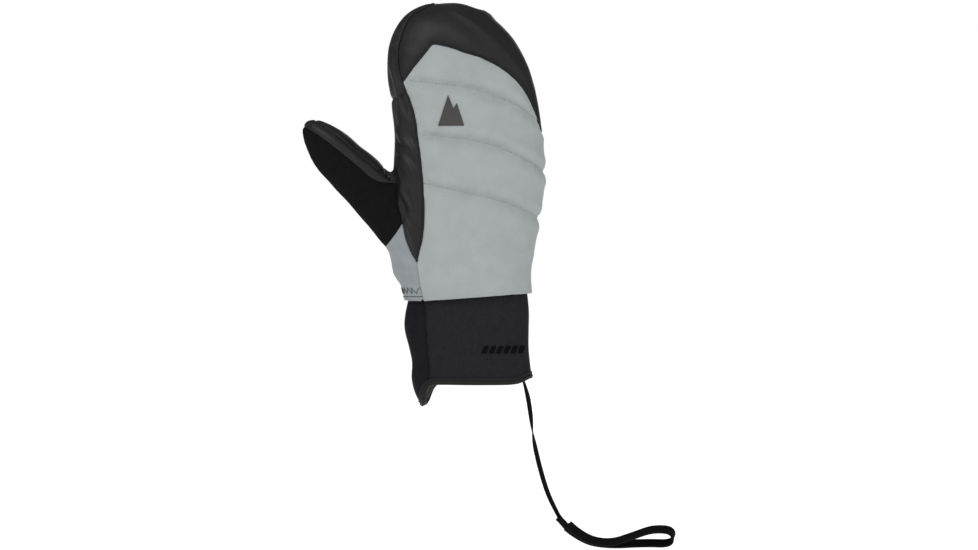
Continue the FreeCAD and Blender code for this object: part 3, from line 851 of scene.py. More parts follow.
def puff_up(thing):
    """Blow the pinned cloth up with a little pressure, so that its channels swell and its leather creases."""
    before = [vert.co.copy() for vert in thing.data.vertices]
    cloth = thing.modifiers.new("cloth", "CLOTH")
    settings = cloth.settings
    settings.quality = 6
    settings.mass = 0.05
    settings.tension_stiffness = 5
    settings.compression_stiffness = 5
    settings.shear_stiffness = 4
    settings.bending_stiffness = 0.1
    settings.air_damping = 3
    settings.vertex_group_mass = "pins"
    settings.vertex_group_shrink = "growth"
    settings.shrink_min = 0
    settings.shrink_max = -0.07
    settings.use_pressure = True
    settings.uniform_pressure_force = 1500
    settings.effector_weights.gravity = 0
    cloth.collision_settings.use_collision = False
    cloth.collision_settings.use_self_collision = False
    scene = bpy.context.scene
    for number in range(1, SIMULATION_FRAMES + 1):
        scene.frame_set(number)
    apply_modifiers(thing)
    scene.frame_set(1)
    for vert, place in zip(thing.data.vertices, before):
        move = vert.co - place
        if move.length > LARGEST_MOVE:
            vert.co = place + move.normalized() * LARGEST_MOVE


def build_skin():
    """The outer skin after its cloth simulation, with a panel number on every face."""
    bm = raw_skin(SKIN_DEPTH, SKIN_BOTTOM, SKIN_VOXEL)
    quilted, fold = cut_seams(bm)
    panel_layer = bm.faces.layers.int.new("panel")
    for face in bm.faces:
        face[panel_layer] = PANELS.index(panel_of(face.calc_center_median() / MM))
    bm.normal_update()
    pinned = {}
    for vert in bm.verts:
        if len({face[panel_layer] for face in vert.link_faces}) > 1:
            pinned[vert] = SEAM_SINK
        elif vert in quilted:
            pinned[vert] = QUILT_SINK
        elif vert in fold:
            pinned[vert] = FOLD_SINK
        elif vert.is_boundary:
            pinned[vert] = 0
    for vert, sink in pinned.items():
        vert.co -= vert.normal * sink * MM
    for vert in bm.verts:
        if vert not in pinned:
            vert.co += vert.normal * UNEVENNESS * MM * noise.noise(vert.co * 75)
    bm.verts.index_update()
    pins = [vert.index for vert in pinned]
    growth = []
    for vert in bm.verts:
        names = [PANELS[face[panel_layer]] for face in vert.link_faces]
        growth.append(sum(PANEL_GROWTH[name] for name in names) / len(names) if names else 0)
    thing = mesh_object("skin", bm)
    thing.vertex_groups.new(name="pins").add(pins, 1, "REPLACE")
    growth_group = thing.vertex_groups.new(name="growth")
    for index, weight in enumerate(growth):
        growth_group.add([index], weight, "REPLACE")
    puff_up(thing)
    return thing


skin = build_skin()
skin_bm = bmesh.new()
skin_bm.from_mesh(skin.data)
skin_bm.normal_update()
skin_bm.verts.ensure_lookup_table()
skin_tree = BVHTree.FromBMesh(skin_bm)
skin_panels = skin_bm.faces.layers.int["panel"]

seam_verts = [vert for vert in skin_bm.verts if len({face[skin_panels] for face in vert.link_faces}) > 1]
seam_places = KDTree(len(seam_verts))
for number, vert in enumerate(seam_verts):
    seam_places.insert(vert.co, number)
seam_places.balance()

# how high each panel's folds are, in mm, and how close they follow each other along each axis
PANEL_FOLDS = {
    "thumb-gusset": (6.5, (0.04, 0.05, 0.1)),
    "tip-cap": (1.8, (0.035, 0.035, 0.045)),
    "index-strip": (6, (0.09, 0.07, 0.05)),
    "thumb-suede": (0.6, (0.06, 0.06, 0.06)),
    "thumb-top-leather": (2.2, (0.07, 0.07, 0.08)),
    "thumb-palm-leather": (1.2, (0.06, 0.06, 0.07)),
    "palm-leather": (1.5, (0.04, 0.04, 0.06)),
}


def quilting_relief(place):
    """The grooves of the quilt lines and the small gathers beside them, in mm along the surface's normal."""
    relief = 0.5 * noise.noise(place * 0.035)
    for line in quilt_z:
        distance = abs(place.z - line(place.x))
        if distance < 16:
            wave = noise.noise(Vector((place.x * 0.22, distance * 0.05, line(0) * 0.1)))
            relief += 0.7 * wave * distance / 2.5 * math.exp(1 - distance / 2.5)
            relief -= 1.1 * math.exp(-(distance / 2.4) ** 2)
            relief += 0.9 * math.exp(-((distance - 8) / 4) ** 2)
    return relief


def fold_relief(name, place):
    """The soft folds of a panel, in mm along the surface's normal."""
    height, pace = PANEL_FOLDS[name]
    slant = Vector((place.z * 0.03, 0, place.x * 0.04))
    slanted = Vector(step * length for step, length in zip(pace, place)) + slant
    # the crests run where the noise changes sign
    return height * (0.28 - math.hypot(noise.noise(slanted), 0.08))


def split_panel(name):
    """One panel of the skin as its own piece: smoothed, with the thickness of its material."""
    bm = bmesh.new()
    bm.from_mesh(skin.data)
    layer = bm.faces.layers.int["panel"]
    other = [face for face in bm.faces if face[layer] != PANELS.index(name)]
    bmesh.ops.delete(bm, geom=other, context="FACES")
    piece = mesh_object(name, bm)
    smooth = piece.modifiers.new("smooth", "SUBSURF")
    smooth.levels = 1
    apply_modifiers(piece)
    reliefs = []
    for vert in piece.data.vertices:
        place = vert.co / MM
        if name == "back-shell":
            relief = quilting_relief(place)
        else:
            # the folds fade towards the mitten's sides
            relief = fold_relief(name, place) * smoothstep(0.15, 0.75, abs(vert.normal.y))
        reliefs.append(relief * smoothstep(0.5, 6, seam_places.find(vert.co)[2] / MM))
    normals = [vert.normal.copy() for vert in piece.data.vertices]
    for vert, normal, relief in zip(piece.data.vertices, normals, reliefs):
        vert.co += normal * relief * MM
    thicken(piece, PANEL_THICKNESS)
    return apply_modifiers(piece)


panels = {name: split_panel(name) for name in PANELS}
for name, nodes, slot, bend, *replaced in (
    ("back-shell", SHELL, "shell_fabric", bends_at_knuckles, "back_shell_hand", "back_shell_fingers"),
    ("thumb-gusset", GUSSET, "gusset_fabric", bends_at_thumb, "thumb_gusset"),
    ("tip-cap", LEATHER, "leather", bends_at_knuckles, "tip_cap"),
    ("index-strip", LEATHER, "leather", bends_at_knuckles, "index_strip_hand", "index_strip_fingers"),
    ("thumb-suede", SUEDE, "suede", bends_at_thumb, "thumb_suede"),
    ("thumb-top-leather", LEATHER, "leather", bends_at_thumb, "thumb_top_leather"),
    ("thumb-palm-leather", LEATHER, "leather", bends_at_thumb, "thumb_palm_leather"),
    ("palm-leather", LEATHER, "leather", bends_at_knuckles, "palm_leather_hand", "palm_leather_fingers"),
):
    dress(panels[name], nodes, slot)
    bend(panels[name])
    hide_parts(*replaced)

finished_bm = bmesh.new()
for piece in panels.values():
    finished_bm.from_mesh(piece.data)
finished_tree = BVHTree.FromBMesh(finished_bm)
finished_bm.free()

# ---------------------------------------------------------------- seams as lines on the skin

QUILT_LEFT = -45
QUILT_RIGHT = 60
QUILT_STEPS = 210


def longest_chain(pairs):
    """The longest run of places through edges given as pairs of vertices."""
    neighbours = {}
    for first, second in pairs:
        neighbours.setdefault(first, []).append(second)
        neighbours.setdefault(second, []).append(first)
    ends = [vert for vert, others in neighbours.items() if len(others) == 1] or list(neighbours)[:1]
    best = []
    for end in ends:
        chain, seen = [end], {end}
        while True:
            onward = [vert for vert in neighbours[chain[-1]] if vert not in seen]
            if not onward:
                break
            chain.append(onward[0])
            seen.add(onward[0])
        if len(chain) > len(best):
            best = chain
    return [vert.co.copy() for vert in best]


def seam_between(first, second):
    """The line of the seam between two groups of panels."""
    pairs = []
    for edge in skin_bm.edges:
        names = {PANELS[face[skin_panels]] for face in edge.link_faces}
        if names & set(first) and names & set(second):
            pairs.append(edge.verts[:])
    return longest_chain(pairs)


def quilt_path(line):
    """The places of one row of quilting on the finished back panel."""
    path = []
    for step in range(QUILT_STEPS + 1):
        x = QUILT_LEFT + (QUILT_RIGHT - QUILT_LEFT) * step / QUILT_STEPS
        place, _, _, _ = finished_tree.ray_cast(Vector((x, -100, line(x))) * MM, TO_PALM)
        if place and on_back_shell(place / MM) and x > strip_right_x(place.z / MM) + 1:
            path.append(place)
    return path


def respaced(path, step, rounds=4):
    """A path evened out and divided again every step."""
    for _ in range(rounds):
        middle = [(before + place * 2 + after) / 4 for before, place, after in zip(path, path[1:], path[2:])]
        path = [path[0], *middle, path[-1]]
    result, travelled, due = [path[0]], 0, step
    for before, after in zip(path, path[1:]):
        length = (after - before).length
        while travelled + length >= due:
            result.append(before.lerp(after, (due - travelled) / length))
            due += step
        travelled += length
    return result


def skin_normal(place):
    """The skin's outward direction nearest to a place."""
    return skin_tree.find_nearest(place)[1]


def level_normals(path):
    """The skin's outward directions along a path, evened out so that a crease doesn't tip them."""
    normals = [skin_normal(place) for place in path]
    for _ in range(10):
        threes = zip(normals, normals[1:], normals[2:])
        normals = [normals[0], *(sum(three, Vector()).normalized() for three in threes), normals[-1]]
    return normals


def piping(name, path, radius, lift):
    """A round cord of leather along a seam."""
    path = respaced(path, 1.6 * MM, rounds=8)
    normals = level_normals(path)
    bm = bmesh.new()
    raised_path = [place + normal * lift for place, normal in zip(path, normals)]
    add_tube(bm, raised_path, radius, lambda index: normals[index])
    return closed_object(name, bm)


def stitches(name, paths, pitch, length, radius, normal_at, lift=0.25 * MM):
    """Rows of single stitches: short bowed capsules that dip into the cloth at both ends."""
    bm = bmesh.new()
    for path in paths:
        path = respaced(path, pitch / 4, rounds=1)
        used = round(4 * length / pitch)
        for start in range(0, len(path) - used - 1, 4):
            run = path[start:start + used + 1]
            normals = [normal_at(place) for place in run]
            bow = []
            for index, (place, normal) in enumerate(zip(run, normals)):
                height = lift * (2 * math.sin(math.pi * index / used) - 0.6)
                bow.append(place + normal * height)
            add_tube(bm, bow, radius, lambda index: normals[index], sides=5)
    return closed_object(name, bm)


def beside(path, distance):
    """A line beside another on the finished panels, to its left as seen from outside."""
    shifted = []
    for place, normal, way in zip(path, level_normals(path), ways_along(path)):
        moved = place + normal.cross(way).normalized() * distance
        shifted.append(finished_tree.find_nearest(moved + normal * 2 * MM)[0])
    return respaced(shifted, 1 * MM, rounds=3)


strip_seam = seam_between(["index-strip"], ["back-shell", "tip-cap"])
cap_seam = seam_between(["tip-cap"], ["back-shell"])
strip_piping = dress(piping("strip-piping", strip_seam, 0.85 * MM, 0.55 * MM), PIPING, "piping")
cap_piping = dress(piping("cap-piping", cap_seam, 0.85 * MM, 0.55 * MM), PIPING, "piping")
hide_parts("strip_piping_hand", "strip_piping_fingers")
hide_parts("cap_piping")
quilting = [quilt_path(line) for line in quilt_z]
quilt_stitches = stitches("quilt-stitches", quilting, 2.8 * MM, 2.0 * MM, 0.16 * MM, skin_normal, 0.2 * MM)
dress(quilt_stitches, GREY_THREAD, "shell_fabric")
cap_line = respaced(cap_seam, 2 * MM, rounds=8)
if cap_line[0].x > cap_line[-1].x:
    cap_line.reverse()
CAP_STITCHES_IN = 2.2 * MM
cap_stitches = stitches(
    "cap-stitches", [beside(cap_line, CAP_STITCHES_IN)], 2.6 * MM, 1.9 * MM, 0.17 * MM, skin_normal
)
dress(cap_stitches, BLACK_THREAD, "leather")
for piece in (strip_piping, cap_piping, quilt_stitches, cap_stitches):
    bends_at_knuckles(piece)

# ---------------------------------------------------------------- emblem and palm patch


def flat_piece(outline, cell):
    """A flat sheet with an outline of (x, z) points in mm, cut into cells so that it can follow a surface."""
    bm = bmesh.new()
    bm.faces.new([bm.verts.new(Vector((x, 0, z)) * MM) for x, z in outline])
    for way, axis in ((Vector((1, 0, 0)), 0), (Vector((0, 0, 1)), 1)):
        low = min(point[axis] for point in outline)
        high = max(point[axis] for point in outline)
        for number in range(1, int((high - low) / cell) + 1):
            geometry = bm.verts[:] + bm.edges[:] + bm.faces[:]
            bmesh.ops.bisect_plane(bm, geom=geometry, plane_co=way * (low + number * cell) * MM, plane_no=way)
    return bm


def laid_on(name, outline, cell, tree, side, thickness, lift=0.0):
    """A sheet with thickness, laid on a surface seen from the back of the hand (-1) or the palm (1)."""
    bm = flat_piece(outline, cell)
    for vert in bm.verts:
        start = Vector((vert.co.x, side * 0.2, vert.co.z))
        place, normal, _, _ = tree.ray_cast(start, Vector((0, -side, 0)))
        vert.co = place + normal * lift
    bmesh.ops.recalc_face_normals(bm, faces=bm.faces)
    if sum((face.normal.y for face in bm.faces)) * side < 0:
        bmesh.ops.reverse_faces(bm, faces=bm.faces)
    thing = mesh_object(name, bm)
    thicken(thing, thickness, 1)
    edge = thing.modifiers.new("edge", "BEVEL")
    edge.width = thickness * 0.4
    edge.segments = 2
    edge.limit_method = "ANGLE"
    edge.angle_limit = math.radians(50)
    return apply_modifiers(thing)


def rounded_outline(points, radius, steps=5):
    """An outline with its corners rounded off."""
    result = []
    for index, point in enumerate(points):
        corner = Vector(point)
        before, after = Vector(points[index - 1]), Vector(points[(index + 1) % len(points)])
        first = corner + (before - corner).normalized() * radius
        last = corner + (after - corner).normalized() * radius
        for step in range(steps + 1):
            t = step / steps
            result.append(tuple(first * (1 - t) ** 2 + corner * 2 * t * (1 - t) + last * t * t))
    return result


EMBLEM_OUTLINE = [(-23.5, 192), (-16, 215), (-12, 205), (-9.5, 209), (-4, 192)]
PATCH_OUTLINE = [(-20, 84), (24, 84), (36, 104), (38, 142), (31, 158), (-12, 170), (-27, 155), (-31, 118)]

emblem_outline = rounded_outline(EMBLEM_OUTLINE, 0.8, 3)
emblem = laid_on("peak-emblem", emblem_outline, 2.0, finished_tree, -1, 0.4 * MM, 0.15 * MM)
dress(emblem, PRINT, "print")
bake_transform(emblem)
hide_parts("emblem")
patch_outline = rounded_outline(PATCH_OUTLINE, 7)
palm_patch = laid_on("palm-patch", patch_outline, 4.0, finished_tree, 1, 1.0 * MM, -0.1 * MM)
dress(palm_patch, PATCH, "leather")
bends_at_knuckles(palm_patch)
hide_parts("palm_patch")


def shrunk(outline, distance):
    """An outline moved inward; its points run anticlockwise."""
    moved = []
    for index, point in enumerate(outline):
        before, after = Vector(outline[index - 1]), Vector(outline[(index + 1) % len(outline)])
        way = (after - before).normalized()
        moved.append((point[0] - way.y * distance, point[1] + way.x * distance))
    return moved


def raised(outline, tree, side, lift):
    """An outline of (x, z) points in mm as a closed path on a surface."""
    path = []
    for x, z in [*outline, outline[0]]:
        place, normal, _, _ = tree.ray_cast(Vector((x * MM, side * 0.2, z * MM)), Vector((0, -side, 0)))
        path.append(place + normal * lift)
    return path


patch_rows = [
    respaced(raised(shrunk(patch_outline, inset), finished_tree, 1, 0.9 * MM), 1.5 * MM, 1)
    for inset in (2.2, 5.2)
]
patch_stitches = stitches("patch-stitches", patch_rows, 2.8 * MM, 2 * MM, 0.2 * MM, skin_normal)
dress(patch_stitches, BLACK_THREAD, "leather")
bends_at_knuckles(patch_stitches)

# ---------------------------------------------------------------- wrist end of the hand


def hand_place(angle, height, lift=0.0):
    """A place on the finished skin at an angle round the hand and a height in mm."""
    formed, reach = on_form(HAND_CURVES, angle, height)
    place, _, _, _ = finished_tree.ray_cast((formed + reach * 0.6) * MM, -reach)
    return place + reach.normalized() * lift


hem_pairs = [edge.verts[:] for edge in skin_bm.edges if edge.is_boundary]
hem_line = respaced(longest_chain(hem_pairs), 2 * MM)


def rolled_hem(name, wanted):
    """The turned edge of the skirt along the panels whose places are wanted."""
    bm = bmesh.new()
    runs = [[]]
    for place in [*hem_line, hem_line[0]]:
        if wanted(place / MM):
            runs[-1].append(place - skin_normal(place) * 0.5 * MM)
        else:
            runs.append([])
    for run in runs:
        if len(run) > 3:
            add_tube(bm, run, 1.0 * MM, lambda _: UP, flat=0.85)
    return closed_object(name, bm)


def hem_on_palm(place):
    """Whether a place on the hem is on the palm's leather."""
    return place.y >= palm_seam_y(place.z)


def hem_on_gusset(place):
    """Whether a place on the hem is on the thumb's gusset."""
    return not hem_on_palm(place) and place.x < gusset_x(place.z)


def hem_on_back(place):
    """Whether a place on the hem is on the grey panel of the back."""
    return not hem_on_palm(place) and place.x >= gusset_x(place.z)


for name, wanted, nodes, slot in (
    ("back-hem", hem_on_back, SHELL, "shell_fabric"),
    ("gusset-hem", hem_on_gusset, GUSSET, "gusset_fabric"),
    ("palm-hem", hem_on_palm, LEATHER, "leather"),
):
    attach(dress(rolled_hem(name, wanted), nodes, slot), "hand")

FRONT_OF_GUSSET = math.radians(226)
BACK_OF_GUSSET = math.radians(173)
zigzag_path = []
ZIGZAG_TURNS = 7
ZIGZAG_STEPS = 8
for step in range(ZIGZAG_TURNS * ZIGZAG_STEPS + 1):
    angle = FRONT_OF_GUSSET + (BACK_OF_GUSSET - FRONT_OF_GUSSET) * step / (ZIGZAG_TURNS * ZIGZAG_STEPS)
    swing = abs(step / ZIGZAG_STEPS * 2 % 2 - 1)
    zigzag_path.append(hand_place(angle, 67.8 + 4.6 * swing, 0.1 * MM))
zigzag_bm = bmesh.new()
add_tube(zigzag_bm, zigzag_path, 0.26 * MM, lambda index: skin_normal(zigzag_path[index]), sides=6)
zigzag = dress(closed_object("zigzag-stitches", zigzag_bm), DARK_THREAD, "gusset_fabric")
cover_line = []
for step in range(60):
    angle = FRONT_OF_GUSSET + (BACK_OF_GUSSET - FRONT_OF_GUSSET) * step / 59
    cover_line.append(hand_place(angle, 65.6))
cover_stitches = stitches("cover-stitches", [cover_line], 2.2 * MM, 1.8 * MM, 0.3 * MM, skin_normal)
dress(cover_stitches, DARK_THREAD, "gusset_fabric")
for piece in (zigzag, cover_stitches):
    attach(piece, "hand")


def ribbed_band(name, low, high, depth, start, end, columns, relief, thickness):
    """A band of ribbed elastic round part of the hand's form."""
    bm = bmesh.new()
    rings = []
    for row in range(7):
        height = low + (high - low) * row / 6
        ring = []
        for column in range(columns + 1):
            angle = start + (end - start) * column / columns
            rib = relief * math.cos(math.pi * column)
            ring.append(on_form(HAND_CURVES, angle, height, depth - rib)[0] * MM)
        rings.append(ring)
    bridge(bm, add_rings(bm, rings), closed=False)
    thing = mesh_object(name, bm)
    thicken(thing, thickness, 0)
    return apply_modifiers(thing)


wrist_elastic = ribbed_band(
    "wrist-elastic", 79.3, 85.3, 4.5, math.radians(132), math.radians(230), 90, 0.25, 0.9 * MM
)
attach(dress(wrist_elastic, ELASTIC, "elastic"), "hand")
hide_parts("wrist_elastic")

# ---------------------------------------------------------------- layers inside the hand

LAYER_BOTTOM = 79
LAYER_VOXEL = 3.2 * MM
LINING_THICKNESS = 1.4 * MM


def inner_layer(parts, depth, thickness):
    """One layer under the skin, split into (name, wanted) parts."""
    bm = raw_skin(depth, 70, LAYER_VOXEL)
    slice_mesh(bm, lambda p: p.z - LAYER_BOTTOM, everywhere)
    drop_faces(bm, lambda p: p.z < LAYER_BOTTOM)
    slice_mesh(bm, thumb_reach, lambda p: p.z < 153)
    if len(parts) > 2:
        slice_mesh(bm, lambda p: p.y - palm_seam_y(p.z), lambda p: not on_thumb_half(p))
    made = []
    for name, wanted in parts:
        copy = bm.copy()
        drop_faces(copy, lambda p: not wanted(p))
        thing = mesh_object(name, copy)
        thicken(thing, thickness)
        made.append(apply_modifiers(thing))
    bm.free()
    return made


def in_hand(place):
    """Whether a place is in the hand rather than the thumb."""
    return not on_thumb_half(place)


def in_back(place):
    """Whether a place is in the back half of the hand."""
    return in_hand(place) and on_front(place)


def in_palm(place):
    """Whether a place is in the palm half of the hand."""
    return in_hand(place) and not on_front(place)


back_wadding, palm_wadding, thumb_wadding = inner_layer(
    [("back-insulation", in_back), ("palm-insulation", in_palm), ("thumb-insulation", on_thumb_half)],
    3.9, 2.3 * MM,
)
membrane, thumb_membrane = inner_layer(
    [("membrane-bag", in_hand), ("thumb-membrane-bag", on_thumb_half)], 6.5, 0.35 * MM
)
lining, thumb_lining = inner_layer(
    [("fleece-lining", in_hand), ("thumb-fleece-lining", on_thumb_half)], 7.2, LINING_THICKNESS
)
for piece, nodes, slot, bend, *replaced in (
    (
        back_wadding, WADDING, "insulation", bends_at_knuckles,
        "back_insulation_hand", "back_insulation_fingers",
    ),
    (
        palm_wadding, WADDING, "insulation", bends_at_knuckles,
        "palm_insulation_hand", "palm_insulation_fingers",
    ),
    (thumb_wadding, WADDING, "insulation", bends_at_thumb, "thumb_insulation"),
    (membrane, FILM, "membrane", bends_at_knuckles, "membrane_hand", "membrane_fingers"),
    (thumb_membrane, FILM, "membrane", bends_at_thumb, "thumb_membrane"),
    (lining, FLEECE, "lining", bends_at_knuckles, "lining_hand", "lining_fingers"),
    (thumb_lining, FLEECE, "lining", bends_at_thumb, "thumb_lining"),
):
    bend(piece)
    dress(piece, nodes, slot)
    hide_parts(*replaced)

# ---------------------------------------------------------------- cuff

CUFF_COLUMNS = 168
CUFF_TOP = 72
NEOPRENE_THICKNESS = 2.9 * MM
# the hem's height by the angle in degrees from the thumb's side
front_hem_z = smooth_curve([
    (0, -16.8), (12, -16.4), (22, -14.6), (29, -12), (35, -8.5), (40, -5), (45, -2.2), (50, -0.6), (55, 0),
    (120, 0), (136, 0.6), (148, 2.2), (160, 4), (180, 4.6),
])
palm_hem_z = smooth_curve([
    (0, -16.8), (18, -16.4), (28, -14.6), (36, -12), (43, -8.5), (48, -5), (53, -2.2), (58, -0.6), (64, 0),
    (120, 0), (136, 0.6), (148, 2.2), (160, 4), (180, 4.6),
])
cuff_seam_x = smooth_curve([(-20, -29.5), (1, -30), (63, -34), (80, -35)])
CUFF_SIDE_SEAM_Y = 2


def hem_z(angle):
    """Height of the cuff's lower edge at an angle in radians, 0 at +X."""
    turned = math.degrees(angle) - 180
    return front_hem_z(turned) if turned > 0 else palm_hem_z(-turned)


def cuff_place(angle, height, depth):
    """A place at a depth under the cuff's outer surface, with its soft dents."""
    place, reach = on_form(CUFF_CURVES, angle, height, depth)
    dent = 0.5 * noise.noise(place * 0.05)
    thumb_side = smoothstep(-20, -40, place.x)
    dent += 0.25 * thumb_side * noise.noise(Vector((place.x * 0.2, place.y * 0.2, height * 0.07)))
    gathers = thumb_side * math.exp(-((height - 56) / 5) ** 2)
    dent += 0.4 * gathers * math.sin(math.degrees(angle) * 0.55 + 2 * noise.noise(place * 0.1))
    return (place + reach.normalized() * dent) * MM


def cuff_grid(bottom, top, depth, rows):
    """A mesh round the cuff between its hem and a height."""
    bm = bmesh.new()
    rings = []
    for row in range(rows + 1):
        ring = []
        for column in range(CUFF_COLUMNS):
            angle = 2 * math.pi * column / CUFF_COLUMNS
            low = hem_z(angle) + bottom
            height = low + (top - low) * row / rows
            ring.append(cuff_place(angle, height, depth))
        rings.append(ring)
    bridge(bm, add_rings(bm, rings))
    bm.normal_update()
    return bm


def in_cuff_back(place):
    """Whether a place is on the cuff's back panel."""
    return place.y < CUFF_SIDE_SEAM_Y and place.x > cuff_seam_x(place.z)


cuff_bm = cuff_grid(0, CUFF_TOP, 0, 40)
cuff_seams = slice_mesh(cuff_bm, lambda p: p.x - cuff_seam_x(p.z), lambda p: p.y < 0)
cuff_seams |= slice_mesh(cuff_bm, lambda p: p.y - CUFF_SIDE_SEAM_Y, lambda p: p.x > 0)
cuff_bm.normal_update()
for vert in cuff_bm.verts:
    place = vert.co / MM
    if place.y < 0:
        distance = abs(place.x - cuff_seam_x(place.z))
    elif place.x > 0:
        distance = abs(place.y - CUFF_SIDE_SEAM_Y)
    else:
        continue
    vert.co -= vert.normal * 1.3 * MM * math.exp(-(distance / 1.5) ** 2)
cuff_tree = BVHTree.FromBMesh(cuff_bm)


def cuff_normal(place):
    """The cuff's outward direction nearest to a place."""
    return cuff_tree.find_nearest(place)[1]


for name, wanted, nodes, node in (
    ("cuff-back", in_cuff_back, NEOPRENE, "cuff_back_panel"),
    # the palm panel gets the neoprene darkened with painted shade
    ("cuff-palm", lambda p: not in_cuff_back(p), NEOPRENE_PAINTED_SHADE, "cuff_palm_panel"),
):
    panel_bm = cuff_bm.copy()
    drop_faces(panel_bm, lambda p: not wanted(p))
    panel = mesh_object(name, panel_bm)
    panel.modifiers.new("smooth", "SUBSURF").levels = 1
    thicken(panel, NEOPRENE_THICKNESS)
    dress(apply_modifiers(panel), nodes, "neoprene")
    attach(panel, "cuff")
    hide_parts(node)
cuff_bm.free()

cuff_lining_bm = cuff_grid(4, CUFF_TOP - 1, 3.2, 30)
cuff_lining = mesh_object("cuff-lining", cuff_lining_bm)
thicken(cuff_lining, LINING_THICKNESS)
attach(dress(apply_modifiers(cuff_lining), FLEECE, "lining"), "cuff")
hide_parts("cuff_lining")

# ---------------------------------------------------------------- binding round the cuff's hem

# how far out of the cuff's surface and how far above its edge, in mm, with the roll last
BINDING_PROFILE = [
    (-4.0, 1.4), (-4.1, 4.9), (-3.2, 5.4), (-0.6, 5.4), (0.35, 5.3), (0.7, 4.9), (0.72, 4.2), (0.4, 3.6),
    (0.4, 3.2), (0.85, 2.7), (1.0, 1.7), (0.75, 0.6), (0.0, 0.0), (-1.6, -0.15), (-3.2, 0.3),
]
ROLL_FIRST = 9
ROLL_LAST = 13

hem_places = []
for column in range(CUFF_COLUMNS):
    angle = 2 * math.pi * column / CUFF_COLUMNS
    hem_places.append(cuff_place(angle, hem_z(angle), 0))
binding_rings = []
binding_groove = []
for column, place in enumerate(hem_places):
    angle = 2 * math.pi * column / CUFF_COLUMNS
    along = (hem_places[(column + 1) % CUFF_COLUMNS] - hem_places[column - 1]).normalized()
    above = (cuff_place(angle, hem_z(angle) + 3, 0) - place).normalized()
    outward = along.cross(above).normalized()
    upward = outward.cross(along).normalized()
    binding_rings.append([place + (outward * out + upward * up) * MM for out, up in BINDING_PROFILE])
    binding_groove.append(place + (outward * 0.42 + upward * 3.4) * MM)
binding_bm = bmesh.new()
bridge(binding_bm, add_rings(binding_bm, binding_rings), loop=True)
bmesh.ops.recalc_face_normals(binding_bm, faces=binding_bm.faces)
binding_bm.faces.ensure_lookup_table()
# the roll's faces take the binding leather lightened with a painted highlight
for number, face in enumerate(binding_bm.faces):
    if ROLL_FIRST <= number % len(BINDING_PROFILE) < ROLL_LAST:
        face.material_index = 1
binding = mesh_object("hem-binding", binding_bm)
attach(dress(binding, BINDING, "binding", BINDING_PAINTED_HIGHLIGHT), "cuff")
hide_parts("hem_binding")
binding_groove.append(binding_groove[0])
binding_stitches = stitches(
    "binding-stitches", [binding_groove], 2.6 * MM, 1.9 * MM, 0.22 * MM, cuff_normal, 0.12 * MM
)
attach(dress(binding_stitches, BLACK_THREAD, "binding"), "cuff")

# ---------------------------------------------------------------- raised bars on the cuff

BAR_COUNT = 6
BAR_LEFT = 8.5
BAR_PITCH = 5.4
BAR_WIDTH = 3.6
BAR_BOTTOM = 23.4
BAR_HEIGHT = 5.6
BAR_SLANT = 2.2
bars = []
for number in range(BAR_COUNT):
    left = BAR_LEFT + number * BAR_PITCH
    right = left + BAR_WIDTH
    top = BAR_BOTTOM + BAR_HEIGHT
    corners = [(left, BAR_BOTTOM), (right, BAR_BOTTOM), (right + BAR_SLANT, top), (left + BAR_SLANT, top)]
    bar_outline = rounded_outline(corners, 0.6, 3)
    bars.append(laid_on(f"cuff-bar-{number}", bar_outline, 1.8, cuff_tree, -1, 0.5 * MM, 0.02 * MM))
for bar in bars:
    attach(dress(bar, EMBOSS, "print"), "cuff")
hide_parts("cuff_emboss")

# ---------------------------------------------------------------- leash and its fittings


def webbing_block(name, centre, size, turn, bulge):
    """A short folded and sewn stub of webbing: a soft-edged block, thicker where the fold is."""
    width, depth, height = (side / 2 for side in size)
    matrix = Matrix.Translation(Vector(centre) * MM) @ Matrix.Rotation(turn, 4, "Y")
    bm = bmesh.new()
    rings = []
    levels = (-1, -0.97, -0.8, -0.4, 0, 0.4, 0.8, 0.97, 1)
    for level in levels:
        pinch = 0.86 if abs(level) == 1 else 1 if abs(level) > 0.9 else 1 - bulge * (1 - level * level)
        ring = []
        for side in range(28):
            x, y = around(2 * math.pi * side / 28, width * pinch, depth * min(pinch + 0.05, 1), 6)
            ring.append(matrix @ (Vector((x, y, level * height)) * MM))
        rings.append(ring)
    add_solid(bm, rings)
    return closed_object(name, bm), matrix


def bar_tack(name, matrix, width, depth, rows, pitch):
    """Close rows of thread over both faces of a webbing stub."""
    bm = bmesh.new()
    for side in (-1, 1):
        for row in range(rows):
            height = (row - (rows - 1) / 2) * pitch
            across = [depth * part for part in (-1, -0.5, 0, 0.5, 1)]
            run = [matrix @ (Vector((side * width, y, height)) * MM) for y in across]
            add_tube(bm, run, 0.28 * MM, lambda _: UP, sides=5)
    return closed_object(name, bm)


KEEPER_TURN = math.radians(-42)
keeper, keeper_matrix = webbing_block("loop-keeper", (70.4, 0, -104.8), (5.2, 9.5, 12.6), KEEPER_TURN, 0.12)
keeper_tack = bar_tack("keeper-tack", keeper_matrix, 2.3, 3.6, 5, 1.0)
tab, tab_matrix = webbing_block("leash-anchor", (36.2, 0.5, 13.6), (2.2, 8, 12), 0, 0.05)
tab_tack = bar_tack("anchor-tack", tab_matrix, 1.08, 3, 5, 1.1)
for piece in (keeper, tab, leash_tape, wrist_loop):
    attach(dress(piece, WEBBING, "webbing"), "cuff")
for piece in (keeper_tack, tab_tack):
    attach(dress(piece, BLACK_THREAD, "webbing"), "cuff")
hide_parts("loop_keeper")
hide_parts("leash_anchor_tab")
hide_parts("leash_tape")
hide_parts("wrist_loop")
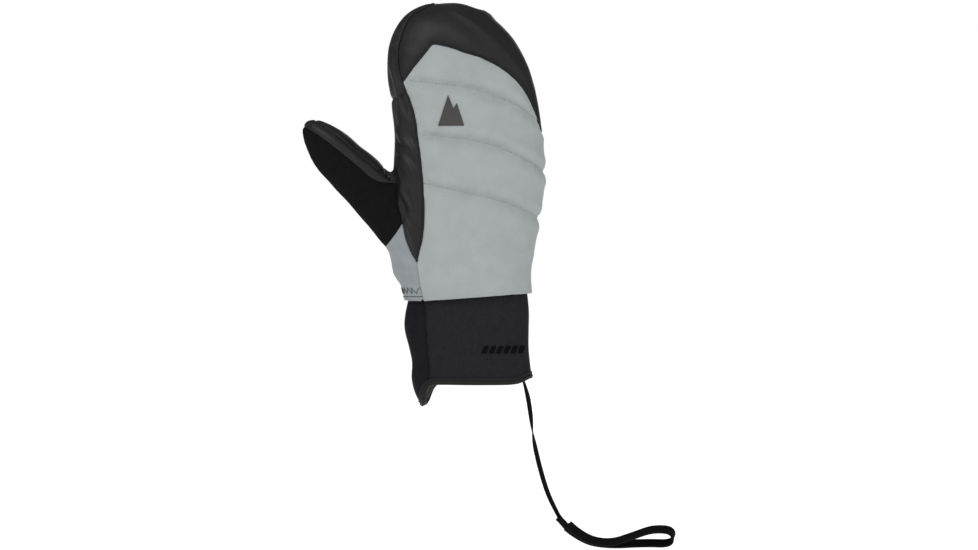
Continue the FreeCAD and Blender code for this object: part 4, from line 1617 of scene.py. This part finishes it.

# ---------------------------------------------------------------- floor and light

skin_bm.free()
bpy.data.objects.remove(skin)

FLOOR_Z = -0.1245
floor_bm = bmesh.new()
bmesh.ops.create_grid(floor_bm, x_segments=8, y_segments=8, size=6)
bmesh.ops.translate(floor_bm, verts=floor_bm.verts, vec=(0, 0, FLOOR_Z))
floor = mesh_object("floor", floor_bm)
floor.data.materials.append(FLOOR.material)

world = bpy.data.worlds.new("studio")
bpy.context.scene.world = world
world.use_nodes = True
studio = world.node_tree
studio.nodes["Background"].inputs["Color"].default_value = (1, 1, 1, 1)
direction = studio.nodes.new("ShaderNodeSeparateXYZ")
studio.links.new(studio.nodes.new("ShaderNodeTexCoord").outputs["Generated"], direction.inputs["Vector"])
# the wall in front of the mitten glows, and its sides and the wall behind it are dimmer
walls = studio.nodes.new("ShaderNodeMapRange")
walls.inputs["From Min"].default_value = -0.9
walls.inputs["From Max"].default_value = 0.25
walls.inputs["To Min"].default_value = 1.0
walls.inputs["To Max"].default_value = 0.22
studio.links.new(direction.outputs["Y"], walls.inputs["Value"])
# what the camera sees behind the mitten is plain white
backdrop = studio.nodes.new("ShaderNodeMix")
backdrop.inputs["B"].default_value = 1
studio.links.new(studio.nodes.new("ShaderNodeLightPath").outputs["Is Camera Ray"], backdrop.inputs["Factor"])
studio.links.new(walls.outputs["Result"], backdrop.inputs["A"])
studio.links.new(backdrop.outputs["Result"], studio.nodes["Background"].inputs["Strength"])


def softbox(name, place, size, power):
    """A large square light aimed at the middle of the mitten."""
    light = bpy.data.lights.new(name, "AREA")
    light.size = size
    light.energy = power
    lamp = bpy.data.objects.new(name, light)
    lamp.location = place
    lamp.rotation_euler = (Vector(place) - AIM).to_track_quat("Z", "Y").to_euler()
    bpy.context.scene.collection.objects.link(lamp)


softbox("key", (-0.7, -1.1, 1.5), 0.7, 10)
softbox("fill", (1.3, -1.0, 0.6), 1.2, 2)
softbox("back", (0.2, 2.0, 0.5), 1.4, 7)
bpy.context.scene.view_settings.view_transform = "Standard"
